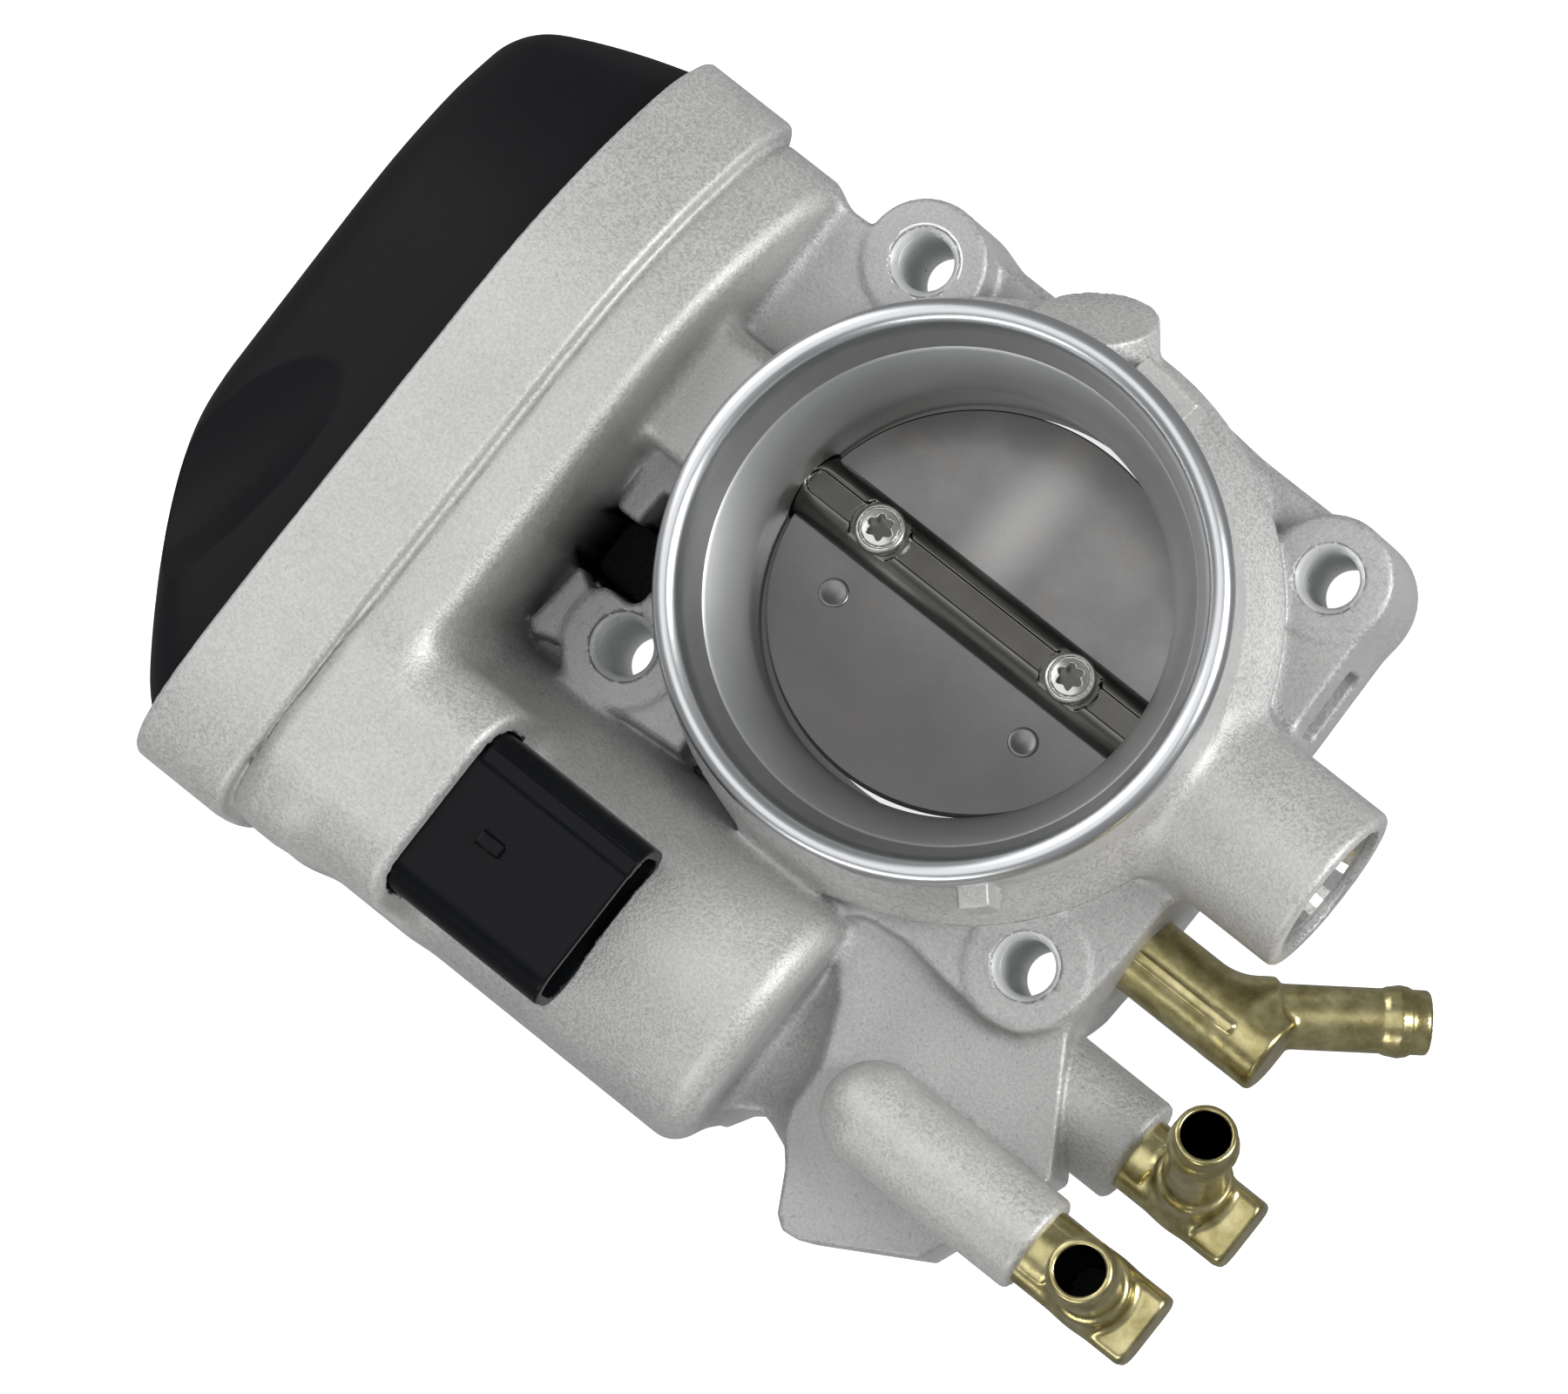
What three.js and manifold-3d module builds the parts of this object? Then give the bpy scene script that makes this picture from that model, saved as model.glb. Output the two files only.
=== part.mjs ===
// Electronic throttle body: a cast housing with the gear train, motor, sprung shaft and plate,
// its plastic gear cover and connector, and three brass hose fittings.
// Millimetres. +Z is the air path, pointing out of the inlet. +X is the throttle shaft, pointing
// away from the gears. The origin is the bore axis on the face that meets the intake manifold.
import * as THREE from 'three';
import { mergeVertices } from 'three/addons/utils/BufferGeometryUtils.js';
import Module from 'manifold-3d';

const wasm = await Module();
wasm.setup();

// ---------- driving dimensions ----------
const GAP = 0.3;              // between pieces that rest on each other
const FINE = 0.1;             // between pieces pressed or turned together
const SHAFT_Z = 26;           // height of the throttle shaft above the manifold face
const BORE_R = 28.5;
const RIM_Z = 56;             // top of the inlet spigot
const SPIGOT_R = 37.6;
const BEAD_R = 38.8;
const BOLT = { x: 35, y: 32.8, r: 4, lug: 8.6, top: 27 };
const SHAFT_R = 5;
const PLATE = { tilt: -12, thick: 1.9, rx: 28.2, ry: 28.35 };
const SCREW_X = 16.4;         // plate screws, each side of the bore axis
const TRAVEL = { close: 7, open: 78 };   // degrees from rest, turning about -X to open
const MESH_ARC = 12;          // degrees of sector teeth kept beyond the travel at each end
const BOSS = { r: 12.7, end: 61 };

const LIP = { end: -75.5, ledge: -73.6, back: -61.5, wall: 1.5, inset: 2.6 };
const CASE = { inset: 2.4, wall: 4.7, floor: -53.5, back: -51 };
const GEAR = { module: 1, sector: 42, small: 22, big: 44, pinion: 16 };
const IDLER_LIFT = 1;         // idler axis above the shaft axis
const MOTOR_DROP = 7;         // motor axis below the idler axis
const SECTOR_X = [-73.2, -68.2];
const BIG_X = [-67.4, -62.2];

const MOTOR = { r: 14.6, to: 6, housing: 20.2, end: 12, flat: 0.8 };
const SOCKET = { y0: -76.5, y1: -50.5, z0: 36.5, z1: 50, back: -52, mouth: -10.5, wall: 2 };

const pitchR = (teeth) => teeth * GEAR.module / 2;
const ACROSS_1 = pitchR(GEAR.sector) + pitchR(GEAR.small);
const ACROSS_2 = pitchR(GEAR.big) + pitchR(GEAR.pinion);
const idler = { y: -Math.sqrt(ACROSS_1 ** 2 - IDLER_LIFT ** 2), z: SHAFT_Z + IDLER_LIFT };
const motor = { y: idler.y - Math.sqrt(ACROSS_2 ** 2 - MOTOR_DROP ** 2), z: idler.z - MOTOR_DROP };
const shaft = { y: 0, z: SHAFT_Z };

// ---------- materials ----------
const finish = (color, roughness, metalness) =>
  new THREE.MeshStandardMaterial({ color, roughness, metalness });
const castAluminium = finish(0xb9b9b6, 0.55, 0.9);
const blackPlastic = finish(0x17181a, 0.6, 0);
const glossPlastic = finish(0x0e0f10, 0.3, 0);
const darkSteel = finish(0x5c5a58, 0.4, 1);
const brightSteel = finish(0xb8b8b4, 0.25, 1);
const brass = finish(0xa8934f, 0.35, 1);
const rubber = finish(0x1c1c1c, 0.9, 0);
const nylon = finish(0xd9d6c8, 0.6, 0);
const magnetGrey = finish(0x3a3a3c, 0.7, 0.3);
const boardGreen = finish(0x2f5d3a, 0.6, 0);

// ---------- solids ----------
function solid(geometry) {
  // a three.js geometry as a manifold, faces out, with shared vertices merged
  const bare = geometry.clone();
  bare.deleteAttribute('normal');
  bare.deleteAttribute('uv');
  const merged = mergeVertices(bare, 1e-4);
  const p = merged.attributes.position.array;
  const index = merged.index.array;
  const tris = [];
  let volume = 0;
  const at = (i) => new THREE.Vector3(p[3 * i], p[3 * i + 1], p[3 * i + 2]);
  for (let i = 0; i < index.length; i += 3) {
    const [a, b, c] = [index[i], index[i + 1], index[i + 2]];
    if (a === b || b === c || c === a) continue;
    tris.push(a, b, c);
    volume += at(a).dot(at(b).cross(at(c)));
  }
  if (volume < 0) {
    for (let i = 0; i < tris.length; i += 3) [tris[i], tris[i + 1]] = [tris[i + 1], tris[i]];
  }
  return new wasm.Manifold(new wasm.Mesh({
    numProp: 3, vertProperties: new Float32Array(p), triVerts: new Uint32Array(tris),
  }));
}

const model = new THREE.Group();
function piece(name, body, material) {
  const mesh = body.getMesh();
  const geometry = new THREE.BufferGeometry();
  geometry.setAttribute('position', new THREE.BufferAttribute(new Float32Array(mesh.vertProperties), 3));
  geometry.setIndex(new THREE.BufferAttribute(new Uint32Array(mesh.triVerts), 1));
  const object = new THREE.Mesh(geometry, material);
  object.name = name;
  model.add(object);
}

const rad = THREE.MathUtils.degToRad;
const join = (...bodies) => bodies.reduce((sum, body) => sum.add(body));
const cut = (body, ...tools) => tools.reduce((rest, tool) => rest.subtract(tool), body);
const around = (r, sides) => r / Math.cos(Math.PI / sides);   // polygon that clears a circle of r

const Y_Z_X = new THREE.Matrix4().makeBasis(           // shape (y, z) extruded along +X
  new THREE.Vector3(0, 1, 0), new THREE.Vector3(0, 0, 1), new THREE.Vector3(1, 0, 0));

function barX(r, x0, x1, at, sides = 32) {
  const g = new THREE.CylinderGeometry(r, r, x1 - x0, sides).rotateZ(-Math.PI / 2);
  return solid(g.translate((x0 + x1) / 2, at.y, at.z));
}
const holeX = (r, x0, x1, at, sides = 32) => barX(around(r, sides), x0, x1, at, sides);

function barZ(r, z0, z1, x, y, sides = 32) {
  const g = new THREE.CylinderGeometry(r, r, z1 - z0, sides).rotateX(Math.PI / 2);
  return solid(g.translate(x, y, (z0 + z1) / 2));
}

function turnedAlong(start, direction, profile, sides = 24) {
  // a profile of [distance, radius] turned about a line in any direction
  const points = profile.map(([s, r]) => new THREE.Vector2(r, s));
  const turn = new THREE.Quaternion().setFromUnitVectors(new THREE.Vector3(0, 1, 0), direction);
  const g = new THREE.LatheGeometry(points, sides).applyQuaternion(turn);
  return solid(g.translate(start.x, start.y, start.z));
}

function box(x0, x1, y0, y1, z0, z1) {
  const g = new THREE.BoxGeometry(x1 - x0, y1 - y0, z1 - z0);
  return solid(g.translate((x0 + x1) / 2, (y0 + y1) / 2, (z0 + z1) / 2));
}

const shapeOf = (points) => new THREE.Shape(points.map(([a, b]) => new THREE.Vector2(a, b)));
const plain = (depth) => ({ depth, bevelEnabled: false, curveSegments: 5 });

function prismX(shape, x0, x1) {
  const g = new THREE.ExtrudeGeometry(shape, plain(x1 - x0)).applyMatrix4(Y_Z_X);
  return solid(g.translate(x0, 0, 0));
}

function prismZ(shape, z0, z1) {
  return solid(new THREE.ExtrudeGeometry(shape, plain(z1 - z0)).translate(0, 0, z0));
}

function turnedZ(profile, sides = 40) {
  // a profile of [radius, z] turned about the bore axis
  const points = profile.map(([r, z]) => new THREE.Vector2(r, z));
  return solid(new THREE.LatheGeometry(points, sides).rotateX(Math.PI / 2));
}

function turnedX(profile, at, sides = 32) {
  // a profile of [x, radius] turned about an axis along X
  const points = profile.map(([x, r]) => new THREE.Vector2(r, x));
  return solid(new THREE.LatheGeometry(points, sides).rotateZ(-Math.PI / 2).translate(0, at.y, at.z));
}

function roundedRect(a0, a1, b0, b1, r) {
  const s = new THREE.Shape();
  s.absarc(a1 - r, b0 + r, r, -Math.PI / 2, 0);
  s.absarc(a1 - r, b1 - r, r, 0, Math.PI / 2);
  s.absarc(a0 + r, b1 - r, r, Math.PI / 2, Math.PI);
  s.absarc(a0 + r, b0 + r, r, Math.PI, 1.5 * Math.PI);
  s.closePath();
  return s;
}

function loftX(rings) {
  // rings of equal point counts, from high x to low x, closed by a fan at each end
  const count = rings[0].points.length;
  const position = [];
  const index = [];
  for (const ring of rings) for (const [y, z] of ring.points) position.push(ring.x, y, z);
  for (let k = 0; k + 1 < rings.length; k++) {
    for (let i = 0; i < count; i++) {
      const j = (i + 1) % count;
      const [a, b, c, d] = [k * count + i, k * count + j, (k + 1) * count + j, (k + 1) * count + i];
      index.push(a, b, c, a, c, d);
    }
  }
  const last = (rings.length - 1) * count;
  for (let i = 1; i + 1 < count; i++) {
    index.push(0, i + 1, i, last, last + i, last + i + 1);
  }
  const g = new THREE.BufferGeometry();
  g.setAttribute('position', new THREE.Float32BufferAttribute(position, 3));
  g.setIndex(index);
  return solid(g);
}

// ---------- gear case outline ----------
// Egg-shaped across (y, z): broad over the motor, narrow beyond the throttle shaft.
const OUTLINE = new THREE.CatmullRomCurve3([
  [36.3, 26], [33.6, 33], [28.2, 39], [16, 46.6], [0, 51.6], [-24, 53.2], [-55, 54.4], [-73, 53.4],
  [-82, 48], [-84, 37], [-83.2, 18], [-77, 4.5], [-60, 0.8], [-24, 0.5], [0, 0.4], [16, 5],
  [28.2, 13], [33.6, 19],
].map(([y, z]) => new THREE.Vector3(0, y, z)), true, 'centripetal');

function outline(inset, count = 40) {
  // the case outline moved inwards by inset
  const points = [];
  for (let i = 0; i < count; i++) {
    const p = OUTLINE.getPointAt(i / count);
    const t = OUTLINE.getTangentAt(i / count);
    points.push([p.y - t.z * inset, p.z + t.y * inset]);
  }
  return points;
}

function fitted(x, y0, y1, z0, z1) {
  // the case outline stretched to fill a rectangle, for one ring of a loft
  const base = outline(0, 32);
  const [lowY, highY, lowZ, highZ] = [-84, 36.3, 0.6, 54.4];
  return {
    x,
    points: base.map(([y, z]) => [
      y0 + (y - lowY) / (highY - lowY) * (y1 - y0),
      z0 + (z - lowZ) / (highZ - lowZ) * (z1 - z0),
    ]),
  };
}

// ---------- brass fittings: axis, start and end of the body, and the hose tube ----------
const FITTINGS = [
  {
    name: 'hose_fitting_1', y: -60.8, z: 29, r: 5.7, boss: 7.2, face: 60, end: 78.8,
    bend: 69.6, tubeR: 4.45, dir: [0, 0.1, 0.995], length: 23, square: true,
  },
  {
    name: 'hose_fitting_2', y: -43.5, z: 15, r: 5.4, boss: 7.8, face: 60.8, end: 78.4,
    bend: 70, tubeR: 4.35, dir: [0, 0.35, 0.937], length: 24.5, square: true,
  },
  {
    name: 'hose_fitting_3', y: -22.2, z: 15, r: 5.75, boss: 7.8, face: 44, end: 66.3,
    bend: 57.4, tubeR: 4.4, dir: [0.773, 0.569, -0.283], length: 28, square: false,
  },
];
const BORE_IN_FITTING = 3.4;

function hoseFitting(f) {
  const at = { y: f.y, z: f.z };
  const start = new THREE.Vector3(f.bend, f.y, f.z);
  const dir = new THREE.Vector3(...f.dir).normalize();
  const [collar, barb, tip] = [f.r + 2.2, f.length - 4.6, f.length];
  let body = turnedX([
    [f.face - 9, 0], [f.face - 9, 4.8], [f.face + GAP, 4.8], [f.face + GAP, f.r], [f.end - 5, f.r],
    [f.end - 5, f.r - 0.7], [f.end, f.r - 0.7], [f.end, 0],
  ], at, 20).add(turnedAlong(start, dir, [
    [-0.5, 0], [-0.5, f.tubeR + 0.8], [collar, f.tubeR + 0.8], [collar, f.tubeR], [barb - 1.6, f.tubeR],
    [barb, f.tubeR + 0.5], [tip, f.tubeR - 0.3], [tip, 0],
  ], 16));
  if (f.square) body = body.add(box(f.bend - 7, f.end - 1.5, f.y - f.r, f.y + f.r, f.z - 3.6, f.z + 3.6));
  piece(f.name, cut(body,
    barX(BORE_IN_FITTING - 0.6, f.face - 10, f.bend, at, 16),
    turnedAlong(start, dir, [[-0.1, 0], [-0.1, BORE_IN_FITTING], [tip + 1, BORE_IN_FITTING], [tip + 1, 0]], 16),
  ), brass);
}

// ---------- housing ----------
const BORE_PROFILE = [[31, -1], [31, 3], [BORE_R, 12], [BORE_R, 38], [32.8, 48], [35.7, 57]];
const BEARING = { r: 8, drive: [-53.6, -39.4], idle: [44, 58] };

function bracket() {
  // the low plate beyond the motor that carries the two upright fittings
  const plan = shapeOf([
    [4, -36], [8, -70], [20.5, -69], [24.8, -73], [28.6, -80.3], [31, -81], [47, -73], [55, -54],
    [50, -41], [43.5, -34], [34, -26],
  ]);
  return prismZ(plan, 9, 22);
}

function bosses() {
  return FITTINGS.map((f) => barX(f.boss, 26, f.face, f, 24));
}

function padBoss() {
  // blank round machining pad, tilted away from the spigot
  const out = new THREE.Vector3(-0.454, 0.724, 0.515).normalize();
  const face = new THREE.Vector3(-10.2, 40.4, 33.5);
  return turnedAlong(face, out, [[-17, 0], [-17, 9.4], [0, 8.7], [0, 0]], 28);
}

function hosePads() {
  // two small stops under the bead of the spigot
  const make = (angle, long) => {
    const g = new THREE.BoxGeometry(4, long, 5).translate(37.5, 0, 39.5);
    return solid(g.rotateZ(rad(angle)));
  };
  return [make(83, 9.8), make(-48, 4.3)];
}

function housing() {
  const corners = [[-1, -1], [-1, 1], [1, 1], [1, -1]].map(([i, j]) => [i * BOLT.x, j * BOLT.y]);
  const lugs = corners.map(([x, y]) => barZ(BOLT.lug, 0, BOLT.top, x, y, 28));
  const spigot = turnedZ([
    [0, 0], [40.5, 0], [40.5, 27], [42, 29], [39.5, 32], [SPIGOT_R, 35], [SPIGOT_R, 50],
    [BEAD_R, 51.5], [BEAD_R, 55], [BEAD_R - 1, RIM_Z], [0, RIM_Z],
  ]);
  const block = prismZ(roundedRect(-42.6, 42.6, -40.2, 40.2, 8), 0, 20);
  const flange = prismZ(roundedRect(-43.5, 43.5, -41.2, 41.2, 8.5), 0, 8);
  const web = prismZ(shapeOf([[-53, -12], [-48.5, -12], [-47.5, -20], [-40, -21], [-30, -36],
    [-30, 36], [-42, 38], [-53, 30]]), 2, 26.6);
  const boltWebs = [
    [[-46.8, -27.6], [-43.8, -29.4], [-41.5, -28.6], [-38, -25.9], [-30, -20], [-20, -30], [-20, -39.5],
      [-35.8, -41.2], [-39.2, -40.8], [-42, -37.6], [-46.2, -39], [-47.6, -37.7]],
    [[22, 25], [24.1, 30.5], [26.8, 35], [29.9, 38.9], [41.8, 37], [43.2, 33], [43.6, 14.6], [43.6, 0],
      [30, 0]],
    [[5, -44], [11, -42.2], [14.7, -40.8], [20, -40.2], [39.7, -40.4], [42.9, -36.8], [44.1, -33],
      [44.8, -24], [45.1, 0], [30, 0], [5, -30]],
  ].map((points) => prismZ(shapeOf(points), 8, 26.8));
  const saddle = prismZ(shapeOf([[-53, -48], [-34, -48], [-34, -11], [-53, -11]]), 2, 14);
  const outer = join(
    spigot, block, flange, web, saddle, ...boltWebs, ...lugs, ...bosses(), bracket(), padBoss(), ...hosePads(),
    barX(BOSS.r, 30, BOSS.end, shaft, 32),
    barX(10.6, -52, -30, shaft, 24),
    prismX(roundedRect(-8.7, 10.5, 14, 36.4, 2.6), -52, -30),
    prismX(shapeOf(outline(0)), LIP.end, LIP.back),
    prismX(shapeOf(outline(CASE.inset)), LIP.back - 1, CASE.back),
    turnedX([
      [CASE.back - 1, 0], [CASE.back - 1, MOTOR.housing], [MOTOR.end - 4, MOTOR.housing],
      [MOTOR.end, MOTOR.housing - 4], [MOTOR.end, 0],
    ], motor, 32),
    prismX(roundedRect(-79.8, -47.2, 20, 53.4, 7), LIP.back + 1.5, -36),
    box(-30, 8, -50, -30, 2, 22),
  );
  const screwSeats = motorScrews().map((at) => holeX(1.25, CASE.floor - 1, -50, at, 12));
  return cut(outer,
    turnedZ([[0, -1], ...BORE_PROFILE, [0, 57]]),
    ...corners.map(([x, y]) => barZ(around(BOLT.r, 24), -1, 30, x, y, 24)),
    turnedZ([[32.3, -1], [35.2, -1], [35.2, 2.4], [32.3, 2.4], [32.3, -1]]),
    prismX(shapeOf(outline(LIP.wall)), LIP.end - 1, LIP.ledge),
    prismX(shapeOf(outline(LIP.inset)), LIP.ledge - 1, LIP.back),
    prismX(shapeOf(outline(CASE.wall)), LIP.back - 1, CASE.floor),
    holeX(SHAFT_R + 0.4, -54, 60, shaft, 24),
    holeX(BEARING.r, ...BEARING.drive, shaft),
    holeX(BEARING.r, ...BEARING.idle, shaft),
    holeX(10, 57, BOSS.end + 1, shaft),
    holeX(MOTOR.r + GAP, CASE.floor - 1, MOTOR.to + 1, motor, 32),
    box(-34, 14, SOCKET.y0 - 1, SOCKET.y1 + 1, SOCKET.z0 - GAP, 60),
    prismX(socketShape(-GAP), -56, -30),
    box(-49.5, -41.5, -26.5, -20.8, 5, 30),
    box(-60, 20, -90, -40, -5, MOTOR.flat),
    ...screwSeats,
    ...FITTINGS.map((f) => holeX(4.8 + FINE, f.face - 10, f.face + 1, f, 24)),
    ...FITTINGS.map((f) => holeX(f.r + 0.6, f.face, f.face + 3, f, 24)),
  ).add(cut(barX(5.5, -59.5, CASE.floor + 1, idler, 24), holeX(2.6, -60, -51, idler, 24)))
    .subtract(holeX(2.6, -60, -51, idler, 24));
}

// ---------- throttle shaft, plate and screws ----------
function tilted(body) {
  // set a piece made flat about the shaft axis at the rest angle of the plate
  return body.translate([0, 0, -SHAFT_Z]).rotate([PLATE.tilt, 0, 0]).translate([0, 0, SHAFT_Z]);
}

function throttleShaft() {
  const slot = box(-29, 29, -6, 6, SHAFT_Z - PLATE.thick / 2 - FINE, SHAFT_Z + PLATE.thick / 2 + FINE);
  const groove = box(-27.6, 27.6, -1.6, 1.6, SHAFT_Z + 4.3, SHAFT_Z + 6);
  const seats = [-1, 1].map((side) => barZ(3.8, SHAFT_Z + 3.9, SHAFT_Z + 6, side * SCREW_X, 0, 24));
  const holes = [-1, 1].map((side) => barZ(2.25, SHAFT_Z - 6, SHAFT_Z + 6, side * SCREW_X, 0, 20));
  const end = barX(SHAFT_R, -74.6, 56, shaft, 32);
  piece('throttle_shaft', tilted(cut(end, slot, groove, ...seats, ...holes)), darkSteel);
}

function throttlePlate() {
  const shape = new THREE.Shape();
  shape.absellipse(0, 0, PLATE.rx, PLATE.ry, 0, 2 * Math.PI);
  const disc = solid(new THREE.ExtrudeGeometry(shape, { ...plain(PLATE.thick), curveSegments: 30 })
    .translate(0, 0, SHAFT_Z - PLATE.thick / 2));
  const top = SHAFT_Z + PLATE.thick / 2;
  const holes = [-1, 1].map((side) => barZ(2.25, SHAFT_Z - 3, SHAFT_Z + 3, side * SCREW_X, 0, 20));
  const dimples = [-1, 1].map((side) => barZ(1.9, top - 0.5, top + 1, side * SCREW_X, -10, 16));
  piece('throttle_plate', tilted(cut(disc, ...holes, ...dimples)), darkSteel);
}

function plateScrews() {
  for (const [name, side] of [['plate_screw_1', -1], ['plate_screw_2', 1]]) {
    const z = SHAFT_Z;
    const x = side * SCREW_X;
    const head = turnedZ([[0, z + 4], [3.5, z + 4], [3.5, z + 5], [2.8, z + 5.9], [0, z + 6.1]], 24)
      .translate([x, 0, 0]);
    const star = shapeOf(Array.from({ length: 12 }, (_, i) => {
      const r = i % 2 ? 1.25 : 1.75;
      return [x + r * Math.cos(i * Math.PI / 6), r * Math.sin(i * Math.PI / 6)];
    }));
    piece(name, tilted(cut(head.add(barZ(2, z - 4.4, z + 4.2, x, 0, 20)), prismZ(star, z + 4.6, z + 7))),
      brightSteel);
  }
}

function sleeve(r0, r1, x0, x1, at, sides = 32) {
  return cut(barX(r1, x0, x1, at, sides), holeX(r0, x0 - 1, x1 + 1, at, sides));
}

function shaftBearings() {
  piece('drive_side_bearing', sleeve(SHAFT_R + 0.06, BEARING.r - FINE, -53.2, -43.2, shaft, 28), brightSteel);
  piece('shaft_seal', sleeve(SHAFT_R + 0.06, BEARING.r - FINE, -42.8, -39.8, shaft, 28), rubber);
  piece('idle_side_bearing', sleeve(SHAFT_R + 0.06, BEARING.r - FINE, 45, 55, shaft, 28), brightSteel);
  const plug = turnedX([[57.3, 0], [57.3, 9.7], [59.7, 9.7], [59.7, 7.6], [58.5, 7.2], [58.5, 0]], shaft);
  piece('shaft_end_plug', plug, brightSteel);
}

// ---------- gear train ----------
function involute(angle) {
  return Math.tan(angle) - angle;
}

function toothOutline(teeth, phase, from = 0, to = teeth) {
  // spur teeth, 20 degree pressure angle, one tooth centred on the phase angle
  const m = GEAR.module;
  const r = pitchR(teeth);
  const base = r * Math.cos(rad(20));
  const [root, tip] = [r - 1.25 * m, r + 0.85 * m];
  const backlash = 0.12 * m / r;
  const half = (radius) => Math.PI / (2 * teeth) - backlash + involute(rad(20))
    - involute(Math.acos(Math.min(1, base / Math.max(radius, base))));
  const radii = teeth < 20 ? [root, r, tip] : [root, tip];
  const points = [];
  for (let k = from; k < to; k++) {
    const centre = phase + 2 * Math.PI * k / teeth;
    for (const q of radii) points.push([q * Math.cos(centre - half(q)), q * Math.sin(centre - half(q))]);
    for (const q of [...radii].reverse()) {
      points.push([q * Math.cos(centre + half(q)), q * Math.sin(centre + half(q))]);
    }
  }
  return points;
}

const toIdler = Math.atan2(idler.z - shaft.z, idler.y - shaft.y);
const toMotor = Math.atan2(motor.z - idler.z, motor.y - idler.y);

function gearBody(points, x0, x1, at) {
  return prismX(shapeOf(points.map(([y, z]) => [y + at.y, z + at.z])), x0, x1);
}

function sectorGear() {
  const step = 360 / GEAR.sector;
  const from = -Math.ceil((TRAVEL.close + MESH_ARC) / step);
  const to = Math.ceil((TRAVEL.open + MESH_ARC) / step) + 1;
  const teeth = toothOutline(GEAR.sector, toIdler, from, to);
  const fan = gearBody([...teeth, [0, 0]], ...SECTOR_X, shaft);
  const hub = barX(7, SECTOR_X[0], BIG_X[1] + 1.2, shaft);
  const window = sleeve(9.5, 16.5, SECTOR_X[0] - 1, SECTOR_X[1] + 1, shaft, 40)
    .intersect(gearBody([
      [0, 0], [30 * Math.cos(toIdler + 0.6), 30 * Math.sin(toIdler + 0.6)],
      [30 * Math.cos(toIdler + 1.2), 30 * Math.sin(toIdler + 1.2)],
    ], SECTOR_X[0] - 1, SECTOR_X[1] + 1, shaft));
  piece('sector_gear', cut(fan.add(hub), window, holeX(SHAFT_R + FINE, -76, -58, shaft, 40)), nylon);
}

function idlerGear() {
  const big = gearBody(toothOutline(GEAR.big, toMotor), ...BIG_X, idler);
  const small = gearBody(toothOutline(GEAR.small, toIdler + Math.PI + Math.PI / GEAR.small),
    SECTOR_X[0], BIG_X[0] + 0.5, idler);
  piece('idler_gear', cut(big.add(small), holeX(2.56, -80, -55, idler, 24)), nylon);
  piece('idler_pin', barX(2.5, -82, -51.2, idler, 24), brightSteel);
}

function returnSpring() {
  const [turns, coilR, from, to] = [4, 10.6, -61.2, -55];
  const points = [];
  points.push(new THREE.Vector3(from, 0, SHAFT_Z + 14.5), new THREE.Vector3(from, 1.5, SHAFT_Z + 12));
  for (let i = 4; i <= turns * 18 - 4; i++) {
    const a = i / 18 * 2 * Math.PI;
    const x = from + (to - from) * i / (turns * 18);
    points.push(new THREE.Vector3(x, coilR * Math.sin(a), SHAFT_Z + coilR * Math.cos(a)));
  }
  points.push(new THREE.Vector3(to, -2, SHAFT_Z + 13));
  const wire = new THREE.Shape();
  wire.absarc(0, 0, 0.6, 0, 2 * Math.PI);
  const path = new THREE.CatmullRomCurve3(points);
  const g = new THREE.ExtrudeGeometry(wire, {
    steps: turns * 16, bevelEnabled: false, extrudePath: path, curveSegments: 3,
  });
  piece('return_spring', solid(g), brightSteel);
  piece('spring_bush', sleeve(SHAFT_R + GAP, 9.2, -60.2, -54, shaft), nylon);
}

// ---------- motor ----------
function motorScrews() {
  return [40, -40].map((deg) => ({
    y: motor.y + 17.2 * Math.cos(rad(deg)), z: motor.z + 17.2 * Math.sin(rad(deg)),
  }));
}

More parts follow.
